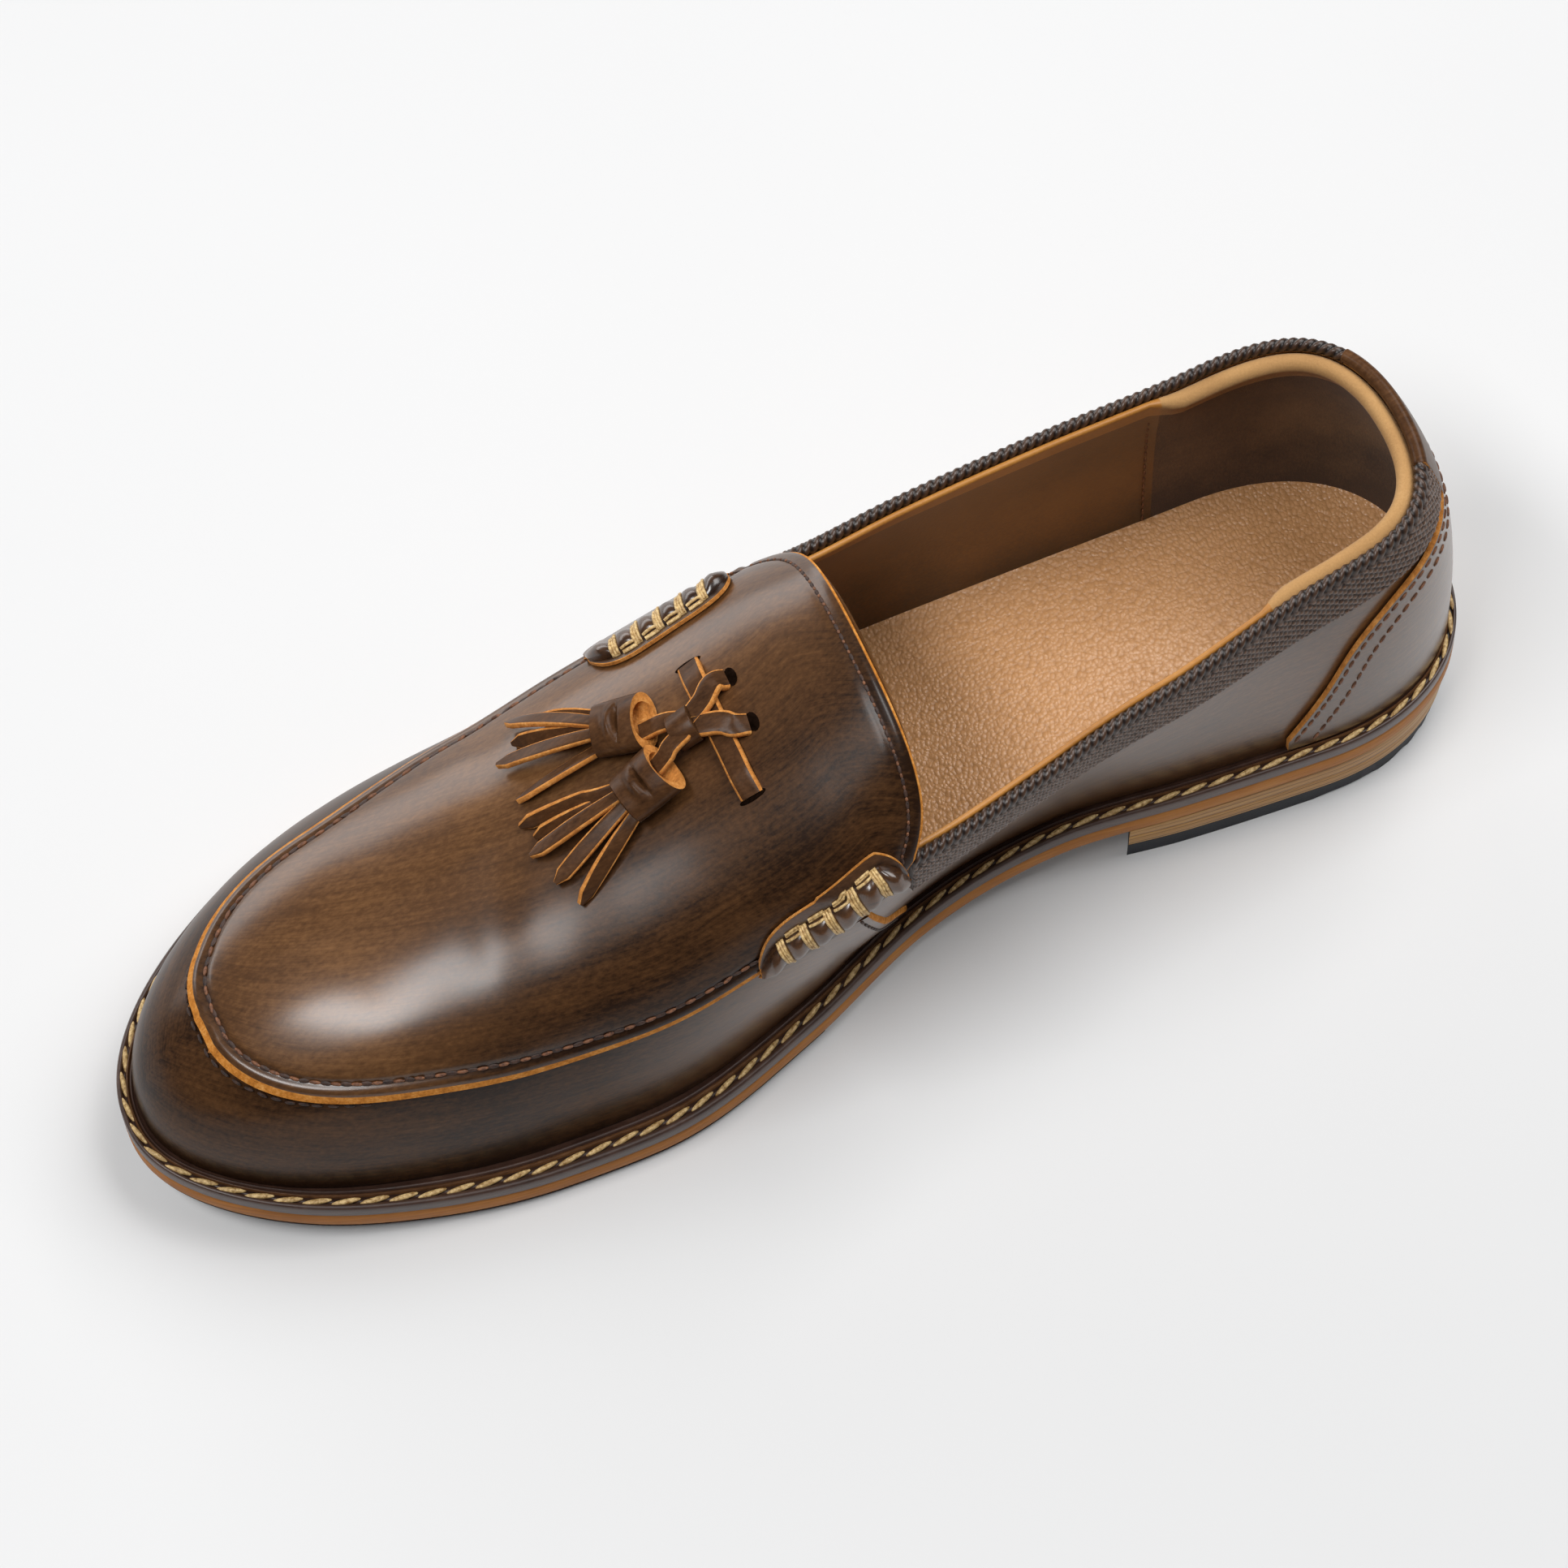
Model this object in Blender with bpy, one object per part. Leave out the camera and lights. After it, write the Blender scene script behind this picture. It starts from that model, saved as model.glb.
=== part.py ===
"""Tassel loafer, the right shoe, standing on its sole.

+X points to the toe, +Y to the inner side of the foot, +Z up. The script works in
millimetres from the back of the heel and hands metres to Blender.
"""
import math

import bmesh
import bpy
import numpy as np
from mathutils import Matrix

MM = 0.001

# Driving sizes, in millimetres
SOLE_LENGTH = 287.0
GAP = 0.3
WALL = 2.0
OUTSOLE = 5.0
WELT = 3.0
TREAD = 1.6
INSOLE = 2.6
HEEL_LENGTH = 81.0
HEEL_CONCAVE = 9.0
TOP_PIECE = 6.0
LOWER_LIFT = 3.9
APRON = 1.7
COUNTER = 1.2
BAND = 1.1
BAND_DEPTH = 11.0
STRAP = 1.5
STRAP_WIDTH = 5.0


class Table:
    """Rows of named columns, read along a smooth curve between the rows."""

    def __init__(self, columns, rows):
        self.columns = columns.split()
        self.rows = np.array(rows, float)
        self.slopes = np.gradient(self.rows, self.rows[:, 0], axis=0)

    def at(self, column, along):
        key = self.rows[:, 0]
        place = self.columns.index(column)
        value = self.rows[:, place]
        slope = self.slopes[:, place]
        low = np.clip(np.searchsorted(key, along) - 1, 0, len(key) - 2)
        step = key[low + 1] - key[low]
        t = np.clip((along - key[low]) / step, 0, 1)
        ease = t * t * (3 - 2 * t)
        swing = t * (1 - t) * ((1 - t) * slope[low] - t * slope[low + 1])
        return value[low] * (1 - ease) + value[low + 1] * ease + step * swing


# along is the share of the sole's length from the back of the heel.
# inner and outer are the sole's half widths before its ends are rounded, axis the line they start from.
PLAN = Table("along inner outer axis", [
    (0.00, 34.0, 34.0, 0.0),
    (0.12, 32.6, 35.2, 0.0),
    (0.24, 30.0, 36.0, 0.0),
    (0.34, 26.3, 37.6, 0.0),
    (0.44, 29.2, 40.2, 0.0),
    (0.54, 39.7, 43.5, 0.0),
    (0.64, 48.0, 46.5, 0.0),
    (0.74, 48.4, 48.0, 0.0),
    (0.84, 46.0, 46.5, 1.5),
    (0.92, 43.4, 43.5, 3.8),
    (1.00, 38.0, 41.0, 7.0),
])
HEEL_RUN = 0.14
HEEL_ROUND = 2.2
TOE_RUN = 0.29
TOE_ROUND = 2.15

# Height of the outsole's underside over the floor: heel, arch, ball and toe spring
BASE = Table("along base", [
    (0.00, 16.5),
    (0.12, 15.6),
    (0.27, 14.3),
    (0.38, 10.5),
    (0.48, 5.6),
    (0.58, 2.6),
    (0.66, 1.9),
    (0.74, 1.9),
    (0.84, 3.6),
    (0.92, 6.4),
    (1.00, 9.6),
])

# The last over its feather edge: reveal is the welt left bare, flare how far the wall overhangs,
# ridge where the crest runs, crest its height, square how full the section's shoulders are.
LAST = Table("along reveal flare_in flare_out ridge crest square_in square_out", [
    (0.00, 3.0, 0.0, 0.0, -0.5, 88.0, 4.0, 4.0),
    (0.15, 4.0, -2.0, -1.0, -2.0, 86.0, 3.5, 3.5),
    (0.26, 4.2, 7.7, 2.2, -1.0, 82.0, 3.0, 3.0),
    (0.36, 4.2, 19.1, 2.6, 3.0, 78.0, 2.7, 2.7),
    (0.44, 4.5, 22.8, 1.5, 6.5, 76.0, 2.6, 2.5),
    (0.50, 4.8, 20.6, 1.5, 7.0, 70.0, 2.9, 2.7),
    (0.60, 5.4, 8.0, 0.5, 5.5, 59.0, 3.2, 2.6),
    (0.70, 5.8, 1.2, 0.0, 3.5, 50.0, 3.4, 2.1),
    (0.80, 5.4, 0.0, 0.0, 3.2, 42.0, 3.0, 2.05),
    (0.90, 4.6, 0.0, 0.0, 3.6, 35.5, 2.7, 2.2),
    (1.00, 3.6, 0.0, 0.0, 5.0, 30.0, 2.5, 2.3),
])
TOE_DROP_RUN = 0.17
TOE_DROP_ROUND = 2.2
SHOULDER = 56.0
FLARE_BEND = 1.1
BACK_LEAN = 10.0
BACK_LEAN_RUN = 0.20
BACK_HEIGHT = 62.0

# Heights over the floor of the collar's edge, and of the apron's seam over the feather edge
TOPLINE = Table("along top", [
    (0.00, 85.5),
    (0.04, 84.3),
    (0.10, 81.0),
    (0.15, 77.8),
    (0.20, 74.5),
    (0.26, 71.0),
    (0.31, 69.0),
    (0.36, 67.6),
    (0.42, 67.0),
    (0.49, 68.5),
])
SEAM = Table("along inner outer", [
    (0.49, 52.0, 54.0),
    (0.60, 37.8, 44.8),
    (0.70, 32.0, 36.0),
    (0.80, 29.2, 32.6),
    (0.90, 26.8, 28.2),
    (0.95, 26.2, 26.2),
    (1.00, 25.5, 25.5),
])
COUNTER_TOP = Table("along top", [
    (0.00, 46.5),
    (0.05, 45.0),
    (0.09, 39.0),
    (0.12, 29.0),
    (0.14, 17.0),
    (0.165, 4.0),
])
COUNTER_FOOT = 0.9
THROAT = 0.49
TONGUE_END = 0.445
TONGUE_SQUARE = 5.0
TAB_INNER = 0.018
TAB_OUTER = 0.030
TAB_DEPTH = 13.0
BAND_END = 0.468
LAID = GAP + 0.05
BAND_LAID = LAID + 0.12
VAMP_SHARES = np.linspace(1, -1, 17)

# Saddle tabs: middle and reach along the sole, where the roll lies and what the ends narrow to,
# and columns, all across the seam in mm and positive towards the welt
SADDLE_PLACE = {1: (0.527, 0.053), -1: (0.546, 0.052)}
SADDLE_ROLL_AT = {1: -5.0, -1: -11.9}
SADDLE_FOOT = {1: 0.0, -1: -5.0}
SADDLE_COLUMNS = {
    1: (-10.6, -9.0, -7.8, -6.8, -5.9, -5.0, -4.1, -3.2, -2.2, -0.8, 0.4),
    -1: (-16.6, -15.2, -14.0, -13.0, -11.9, -10.9, -9.8, -8.4, -6.0, -3.4, -1.2, 1.0),
}
SADDLE = 1.1
SADDLE_ROLL = 2.4

# Tassels: places in plan in mm from the heel's back and the sole's axis
TIE_X = 156.5
TIE_OUTER = -8.5
TIE_INNER = 20.5
KNOT_X = 162.5
KNOT_Y = 3.5
EAR_X = 152.5
EAR_Y = (-2.0, 9.0)
TASSEL_Y = (-3.4, 8.6)
CAP_START = 166.0
CAP_LENGTH = 11.5
CAP_WIDTH = 11.6
CAP_HEIGHT = 7.0
STRIPS = 5
STRIP_LENGTH = 18.0
FRINGE_SPREAD = 9.0


def end_cap(inside):
    """Share of the half width left by the rounded heel and toe."""
    heel = np.clip(1 - inside / HEEL_RUN, 0, 1) ** HEEL_ROUND
    toe = np.clip(1 - (1 - inside) / TOE_RUN, 0, 1) ** TOE_ROUND
    return (1 - heel) ** (1 / HEEL_ROUND) * (1 - toe) ** (1 / TOE_ROUND)


def base(along):
    return np.maximum(BASE.at("base", along), TREAD + GAP)


def welt_seat(along):
    return base(along) + OUTSOLE + GAP


def feather(along):
    return welt_seat(along) + WELT + GAP


def stations(count, low=0.0, high=1.0):
    """Shares of the length, closer together towards both ends."""
    return low + (high - low) * (1 - np.cos(np.linspace(0, math.pi, count))) / 2


def sole_outline(along, inset):
    """Inner and outer edge of the sole in plan, moved inwards by inset."""
    turn = np.arccos(np.clip(1 - 2 * along, -1, 1))
    edges = []
    for side, column in ((1, "inner"), (-1, "outer")):
        def edge(angle):
            share = (1 - np.cos(angle)) / 2
            half = PLAN.at(column, share) * end_cap(share)
            return np.stack([share * SOLE_LENGTH, PLAN.at("axis", share) + side * half], -1)
        step = 1e-3
        run = edge(np.clip(turn + step, 0, math.pi)) - edge(np.clip(turn - step, 0, math.pi))
        run = run / np.linalg.norm(run, axis=-1, keepdims=True)
        inward = np.stack([run[..., 1], -run[..., 0]], -1) * side
        edges.append(edge(turn) + inward * np.broadcast_to(inset, turn.shape)[..., None])
    tips = (along <= 0) | (along >= 1)
    for edge_points in edges:
        edge_points[tips, 1] = PLAN.at("axis", along[tips])
    return edges


def last_span():
    heel = LAST.at("reveal", np.array(0.0)) / SOLE_LENGTH
    toe = 1 - LAST.at("reveal", np.array(1.0)) / SOLE_LENGTH
    return heel, toe


def inside_last(along):
    low, high = last_span()
    return np.clip((along - low) / (high - low), 0, 1)


def crest(along):
    inside = inside_last(along)
    drop = np.clip(1 - (1 - inside) / TOE_DROP_RUN, 0, 1) ** TOE_DROP_ROUND
    return LAST.at("crest", along) * (1 - drop) ** (1 / TOE_DROP_ROUND)


def feather_edge(along, side):
    column = "inner" if side > 0 else "outer"
    half = PLAN.at(column, along) - LAST.at("reveal", along)
    return PLAN.at("axis", along) + side * half * end_cap(inside_last(along))


def last_point(along, side, angle):
    """Point of the last; angle runs from 0 at the feather edge to a quarter turn at the crest."""
    name = "in" if side > 0 else "out"
    square = LAST.at("square_" + name, along)
    ends = end_cap(inside_last(along))
    height = crest(along) * np.sin(angle) ** (2 / square)
    middle = (feather_edge(along, 1) + feather_edge(along, -1)) / 2
    ridge = middle + (LAST.at("ridge", along) - middle) * ends
    rise = np.clip(height / SHOULDER, 0, 1) ** FLARE_BEND
    shoulder = feather_edge(along, side) + side * LAST.at("flare_" + name, along) * ends * rise
    y = ridge + (shoulder - ridge) * np.cos(angle) ** (2 / square)
    tilt = np.clip(1 - inside_last(along) / BACK_LEAN_RUN, 0, 1) ** 2
    x = along * SOLE_LENGTH + BACK_LEAN * tilt * np.clip(height / BACK_HEIGHT, 0, 1.3) ** 2.6
    return np.stack(np.broadcast_arrays(x, y, feather(along) + height), -1)


def last_normal(along, side, angle):
    low, high = last_span()
    step = 2e-3
    turn = np.clip(np.arccos(1 - 2 * inside_last(along)), step, math.pi - step)

    def share(value):
        return low + (high - low) * (1 - np.cos(value)) / 2

    run = last_point(share(turn + step), side, angle) - last_point(share(turn - step), side, angle)
    above = last_point(share(turn), side, np.clip(angle + step, 0, math.pi / 2))
    below = last_point(share(turn), side, np.clip(angle - step, 0, math.pi / 2))
    out = -side * np.cross(run, above - below)
    return out / np.linalg.norm(out, axis=-1, keepdims=True)


def on_last(along, side, angle, offset):
    """Point a set distance outside the last."""
    along, angle = np.broadcast_arrays(np.asarray(along, float), np.asarray(angle, float))
    offset = np.broadcast_to(offset, along.shape)
    return last_point(along, side, angle) + last_normal(along, side, angle) * offset[..., None]


def angle_at(along, side, height):
    """Angle of the section where the last is a given height over its feather edge."""
    square = LAST.at("square_in" if side > 0 else "square_out", along)
    share = np.clip(height / np.maximum(crest(along), 1e-6), 0, 1)
    return np.arcsin(share ** (square / 2))


def top_height(along):
    return TOPLINE.at("top", along) - feather(along)


def seam_angle(along, side):
    """Angle of the apron's seam; behind the throat it keeps the throat's height over the floor."""
    held = np.maximum(along, THROAT)
    height = SEAM.at("inner" if side > 0 else "outer", held) + feather(held) - feather(along)
    return angle_at(along, side, height)


def spread(along, side, low, high, count):
    """Angles at even steps of girth between two angles of one section."""
    fine = np.linspace(low, high, 90)
    points = last_point(np.full(90, along), side, fine)
    girth = np.concatenate([[0], np.cumsum(np.linalg.norm(np.diff(points, axis=0), axis=1))])
    return np.interp(np.linspace(0, girth[-1], count), girth, fine)


def across_last(along, shares, offset):
    """Points over the crest from seam to seam; shares run from 1 at the inner seam to -1 at the outer."""
    shares = np.asarray(shares, float)
    points = np.zeros((len(shares), 3))
    for side in (1, -1):
        chosen = shares >= 0 if side > 0 else shares < 0
        fine = np.linspace(float(seam_angle(np.array(along), side)), math.pi / 2, 60)
        run = last_point(np.full(60, along), side, fine)
        girth = np.concatenate([[0], np.cumsum(np.linalg.norm(np.diff(run, axis=0), axis=1))])
        angles = np.interp((1 - np.abs(shares[chosen])) * girth[-1], girth, fine)
        points[chosen] = on_last(np.full(len(angles), along), side, angles, offset)
    return points


class Skin:
    """Collects grids of points and welds them into one closed solid."""

    def __init__(self):
        self.mesh = bmesh.new()

    def grid(self, points):
        points = np.asarray(points)
        rows, columns = points.shape[:2]
        verts = [[self.mesh.verts.new(points[i, j] * MM) for j in range(columns)] for i in range(rows)]
        for i in range(rows - 1):
            for j in range(columns - 1):
                self.mesh.faces.new((verts[i][j], verts[i + 1][j], verts[i + 1][j + 1], verts[i][j + 1]))

    def plate(self, under, over):
        """Two matching grids and the four rims between them."""
        under = np.asarray(under)
        over = np.asarray(over)
        self.grid(under)
        self.grid(over)
        self.grid(np.stack([under[0], over[0]]))
        self.grid(np.stack([under[-1], over[-1]]))
        self.grid(np.stack([under[:, 0], over[:, 0]]))
        self.grid(np.stack([under[:, -1], over[:, -1]]))

    def sweep(self, rings):
        """Tube through matching closed rings, shut at both ends."""
        rings = np.asarray(rings)
        self.grid(np.concatenate([rings, rings[:, :1]], axis=1))
        for ring in (rings[0], rings[-1]):
            self.mesh.faces.new([self.mesh.verts.new(point * MM) for point in ring])

    def finish(self, name, material):
        bmesh.ops.remove_doubles(self.mesh, verts=self.mesh.verts, dist=0.01 * MM)
        bmesh.ops.dissolve_degenerate(self.mesh, edges=self.mesh.edges, dist=0.005 * MM)
        bmesh.ops.triangulate(self.mesh, faces=self.mesh.faces)
        bmesh.ops.recalc_face_normals(self.mesh, faces=self.mesh.faces)
        data = bpy.data.meshes.new(name)
        self.mesh.to_mesh(data)
        self.mesh.free()
        data.transform(FRAME)
        piece = bpy.data.objects.new(name, data)
        bpy.context.collection.objects.link(piece)
        data.materials.append(material)
        return piece


def frame_matrix():
    """Moves the heel's back to the frame with its origin under the middle of the sole."""
    inner, outer = sole_outline(stations(200), 0.0)
    middle = (inner[:, 1].max() + outer[:, 1].min()) / 2
    return Matrix.Translation((-SOLE_LENGTH / 2 * MM, -middle * MM, 0))


FRAME = frame_matrix()


def leather(name, colour, roughness):
    material = bpy.data.materials.new(name)
    material.use_nodes = True
    shader = material.node_tree.nodes["Principled BSDF"]
    shader.inputs["Base Color"].default_value = (*colour, 1)
    shader.inputs["Roughness"].default_value = roughness
    shader.inputs["Metallic"].default_value = 0
    return material


def lifted(edge, height):
    """Plan points raised to a height function of their own place along the sole."""
    return np.column_stack([edge, height(edge[:, 0] / SOLE_LENGTH)])


def sole_slab(profile, along):
    """Plate under the whole foot; profile rows are inset and a height function, from bottom to top."""
    skin = Skin()
    rings = []
    for inset, height in profile:
        rings.append([lifted(edge, height) for edge in sole_outline(along, inset)])
    for low, high in zip(rings, rings[1:]):
        for edge_low, edge_high in zip(low, high):
            skin.grid(np.stack([edge_low, edge_high]))
    for inner, outer in (rings[0], rings[-1]):
        skin.grid(np.stack([inner, outer]))
    return skin, rings


def make_outsole(material):
    chamfer = 0.6
    profile = [
        (chamfer, base),
        (0.0, lambda along: base(along) + chamfer),
        (0.0, lambda along: base(along) + OUTSOLE - chamfer),
        (chamfer, lambda along: base(along) + OUTSOLE),
    ]
    skin, _ = sole_slab(profile, stations(41))
    return skin.finish("outsole", material)


def make_tread(material):
    """Thin rubber under the forepart, cut off square behind the ball."""
    start = 0.53
    low = math.acos(1 - 2 * start)
    along = (1 - np.cos(np.linspace(low, math.pi, 26))) / 2
    profile = [
        (0.9, lambda share: base(share) - GAP - TREAD),
        (0.3, lambda share: base(share) - GAP),
    ]
    skin, rings = sole_slab(profile, along)
    back = [[inner[0], outer[0]] for inner, outer in rings]
    skin.grid(np.array(back))
    return skin.finish("forepart_tread", material)


def make_welt(material):
    """Ring round the feather edge: outer lip, stitch channel, bead and the flange under the upper.

    Rows are the share of the bare welt inwards from the edge, what is added to it, and the height.
    """
    flange = 4.0
    rows = [
        (0.00, 0.0, 0.0),
        (0.00, 0.0, WELT - 0.8),
        (0.12, 0.0, WELT),
        (0.28, 0.0, WELT),
        (0.33, 0.0, WELT - 0.8),
        (0.50, 0.0, WELT - 0.8),
        (0.55, 0.0, WELT),
        (0.60, 0.0, WELT + 0.5),
        (0.70, 0.0, WELT + 0.5),
        (0.76, 0.0, WELT),
        (1.00, flange, WELT),
        (1.00, flange, 0.0),
    ]
    along = stations(35)
    reveal = LAST.at("reveal", along)
    skin = Skin()
    rings = []
    for share, extra, height in rows:
        edges = sole_outline(along, share * reveal + extra)
        rings.append([lifted(edge, welt_seat) + (0, 0, height) for edge in edges])
    for low, high in zip(rings, rings[1:] + rings[:1]):
        for edge_low, edge_high in zip(low, high):
            skin.grid(np.stack([edge_low, edge_high]))
    return skin.finish("welt", material)


def make_insole(material):
    """Footbed on the welt's flange, stepped down to the outsole inside the ring."""
    along = stations(33)
    reveal = LAST.at("reveal", along)
    hole = reveal + 4.0 + 2 * GAP
    wall = reveal + WALL + 0.9 + 1.6 * (1 - end_cap(along))
    profile = [
        (hole, welt_seat),
        (hole, feather),
        (wall, feather),
        (wall, lambda share: feather(share) + INSOLE),
    ]
    skin, _ = sole_slab(profile, along)
    return skin.finish("insole", material)


def make_heel_layer(name, material, under, over, inset_low, inset_high):
    """Slice of the heel: the sole's outline back to a concave breast, between two height functions."""
    turns = np.linspace(0, math.acos(1 - 2 * HEEL_LENGTH / SOLE_LENGTH), 13)
    along = (1 - np.cos(turns)) / 2
    shares = np.linspace(-1, 1, 7)
    sheets = []
    for inset, height in ((inset_low, under), (inset_high, over)):
        inner, outer = sole_outline(along, inset)
        rows = []
        for i in range(len(along)):
            line = (inner[i] + outer[i]) / 2 + shares[:, None] * (inner[i] - outer[i]) / 2
            line[:, 0] -= HEEL_CONCAVE * (1 - shares ** 2) * (i / (len(along) - 1)) ** 2
            z = height(np.clip(line[:, 0] / SOLE_LENGTH, 0, 1))
            rows.append(np.hstack([line, z[:, None]]))
        sheets.append(np.array(rows))
    skin = Skin()
    skin.plate(sheets[0], sheets[1])
    return skin.finish(name, material)


def make_heel(leather_material, rubber_material):
    def level(height):
        return lambda along: np.full(np.shape(along), height)

    lift = TOP_PIECE + GAP
    upper = lift + LOWER_LIFT + GAP
    make_heel_layer("heel_top_piece", rubber_material, level(0.0), level(TOP_PIECE), 2.2, 1.4)
    make_heel_layer("heel_lift_lower", leather_material, level(lift), level(lift + LOWER_LIFT), 1.3, 1.0)
    make_heel_layer("heel_lift_upper", leather_material, level(upper),
                    lambda along: base(along) - GAP, 0.9, 0.5)


def upper_stations():
    """Stations from heel to toe, with one at the throat, and the throat's row."""
    low, high = last_span()
    split = turn_at(THROAT)
    back = np.linspace(0, split, 18)
    front = np.linspace(split, math.pi, 18)
    turns = np.concatenate([back, front[1:]])
    return low + (high - low) * (1 - np.cos(turns)) / 2, len(back) - 1


def turn_at(along):
    return math.acos(1 - 2 * float(inside_last(np.array(along))))


def tongue_grid(offset):
    """Rows from the throat back to the tongue's rounded edge."""
    columns = []
    for share in VAMP_SHARES:
        reach = (THROAT - TONGUE_END) * (1 - abs(share) ** TONGUE_SQUARE) ** 0.7
        rows = THROAT - reach * np.linspace(0, 1, 5)
        columns.append([across_last(along, [share], offset)[0] for along in rows])
    return np.array(columns).transpose(1, 0, 2)


def seated(points):
    """The same points, none of them under the feather edge."""
    points[..., 2] = np.maximum(points[..., 2], feather(points[..., 0] / SOLE_LENGTH))
    return points


def make_upper(material):
    """Shell of one wall thickness: quarters up to the topline, vamp over the crest, and the tongue."""
    along, throat = upper_stations()
    wall_columns = 7
    skin = Skin()
    sheets = {}
    for offset in (0.0, -WALL):
        walls = {}
        top = seated(np.array([across_last(share, VAMP_SHARES, offset) for share in along[throat:]]))
        tongue = tongue_grid(offset)
        for side, column in ((1, 0), (-1, -1)):
            rows = []
            for i, share in enumerate(along):
                place = np.array(share)
                if i < throat:
                    limit = angle_at(place, side, top_height(place))
                else:
                    limit = seam_angle(place, side)
                angles = spread(share, side, 0.0, float(limit), wall_columns)
                line = on_last(np.full(wall_columns, share), side, angles, offset)
                line[0, 2] = feather(line[0, 0] / SOLE_LENGTH)
                rows.append(seated(line))
            walls[side] = np.array(rows)
            walls[side][throat:, -1] = top[:, column]
            tongue[:, column] = top[0, column]
        seam = (walls[1][0] + walls[-1][0]) / 2
        walls[1][0] = seam
        walls[-1][0] = seam
        sheets[offset] = (walls, tongue)
        for sheet in (walls[1], walls[-1], top, tongue):
            skin.grid(sheet)
    (walls, tongue), (walls_in, tongue_in) = sheets[0.0], sheets[-WALL]
    for side in (1, -1):
        skin.grid(np.stack([walls[side][:, 0], walls_in[side][:, 0]]))
        skin.grid(np.stack([walls[side][:throat + 1, -1], walls_in[side][:throat + 1, -1]]))
    skin.grid(np.stack([tongue[-1], tongue_in[-1]]))
    return skin.finish("upper", material)


def make_apron(material):
    """Raised vamp from the toe seam back to the tongue's edge, laid on the upper."""
    along, throat = upper_stations()
    fine = np.linspace(0.85, 1, 400)
    front = fine[np.argmax(crest(fine) <= SEAM.at("inner", fine))]
    rows = np.append(along[throat:][along[throat:] < front - 0.004], front)
    sheets = []
    for offset in (LAID, LAID + APRON):
        vamp = np.array([across_last(share, VAMP_SHARES, offset) for share in rows])
        tongue = tongue_grid(offset)
        for column in (0, -1):
            tongue[:, column] = vamp[0, column]
        vamp[-1] = vamp[-1].mean(axis=0)
        sheets.append(np.concatenate([tongue[:0:-1], vamp]))
    skin = Skin()
    skin.plate(sheets[0], sheets[1])
    return skin.finish("apron", material)


def make_counter(material):
    """Heel overlay whose edge falls from the back in an S curve to the welt."""
    end = COUNTER_TOP.rows[-1, 0]
    low, high = last_span()
    turns = np.linspace(-turn_at(end), turn_at(end), 23)
    shares = np.linspace(0, 1, 6)
    sheets = []
    for offset in (LAID, LAID + COUNTER):
        rows = []
        for turn in turns:
            side = 1 if turn > 0 else -1
            along = low + (high - low) * (1 - math.cos(turn)) / 2
            heights = COUNTER_FOOT + (COUNTER_TOP.at("top", np.array(along)) - COUNTER_FOOT) * shares
            angles = angle_at(np.array(along), side, heights)
            rows.append(on_last(np.full(len(shares), along), side, angles, offset))
        sheets.append(rows)
    skin = Skin()
    skin.plate(sheets[0], sheets[1])
    return skin.finish("counter", material)


def band_ring(turn, depth):
    """Section of the band folded over the collar's edge, at a turn round the heel."""
    low, high = last_span()
    side = 1 if turn > 0 else -1
    along = np.array(low + (high - low) * (1 - math.cos(turn)) / 2)
    top = top_height(along)
    over = BAND_LAID + BAND
    drop, middle, edge = (angle_at(along, side, top - part) for part in (depth, depth / 2, 0.0))
    rim = last_point(along, side, edge)
    out = last_normal(along, side, edge)
    up = np.array([0, 0, 1.0])
    return [
        on_last(along, side, drop, BAND_LAID),
        on_last(along, side, drop, over),
        on_last(along, side, middle, over),
        rim + out * over + up * GAP,
        rim + out * BAND_LAID + up * (GAP + BAND),
        rim - out * WALL + up * (GAP + BAND),
        rim - out * WALL + up * GAP,
        rim + out * BAND_LAID + up * GAP,
        on_last(along, side, middle, BAND_LAID),
    ]


def make_band(name, material, start, end, depth, count):
    skin = Skin()
    skin.sweep([band_ring(turn, depth) for turn in np.linspace(start, end, count)])
    return skin.finish(name, material)


def make_saddle(name, material, side):
    """Rolled tab over the end of the apron's seam; rows run along the seam, columns across it."""
    rows = []
    for step in np.linspace(-1, 1, 11):
        middle, reach = SADDLE_PLACE[side]
        along = np.array(middle + step * reach)
        width = (1 - 0.93 * abs(step) ** 4) ** 0.4
        fine = np.linspace(0, math.pi / 2, 120)
        run = last_point(np.full(120, along), side, fine)
        girth = np.concatenate([[0], np.cumsum(np.linalg.norm(np.diff(run, axis=0), axis=1))])
        seam = np.interp(float(seam_angle(along, side)), fine, girth)
        under, over = [], []
        for across in SADDLE_COLUMNS[side]:
            below = SADDLE_FOOT[side] + (across - SADDLE_FOOT[side]) * width
            angle = np.array(np.interp(seam - below, girth, fine))
            lap = np.clip((2.6 - below) / 2.2, 0, 1)
            rest = LAID + (APRON + 1.6 * GAP) * lap
            roll = SADDLE_ROLL * math.exp(-((below - SADDLE_ROLL_AT[side]) / 2.3) ** 2) * width
            under.append(on_last(along, side, angle, rest))
            over.append(on_last(along, side, angle, rest + SADDLE + roll))
        rows.append((under, over))
    skin = Skin()
    skin.plate([row[0] for row in rows], [row[1] for row in rows])
    return skin.finish(name, material)


def vamp_at(x, y, lift):
    """Point a set distance above the apron, over a place in plan."""
    along = x / SOLE_LENGTH
    shares = np.linspace(0.8, -0.8, 33)
    line = across_last(along, shares, 0.0)
    share = np.interp(-y, -line[:, 1], shares)
    return across_last(along, [share], LAID + APRON + lift)[0]


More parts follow.
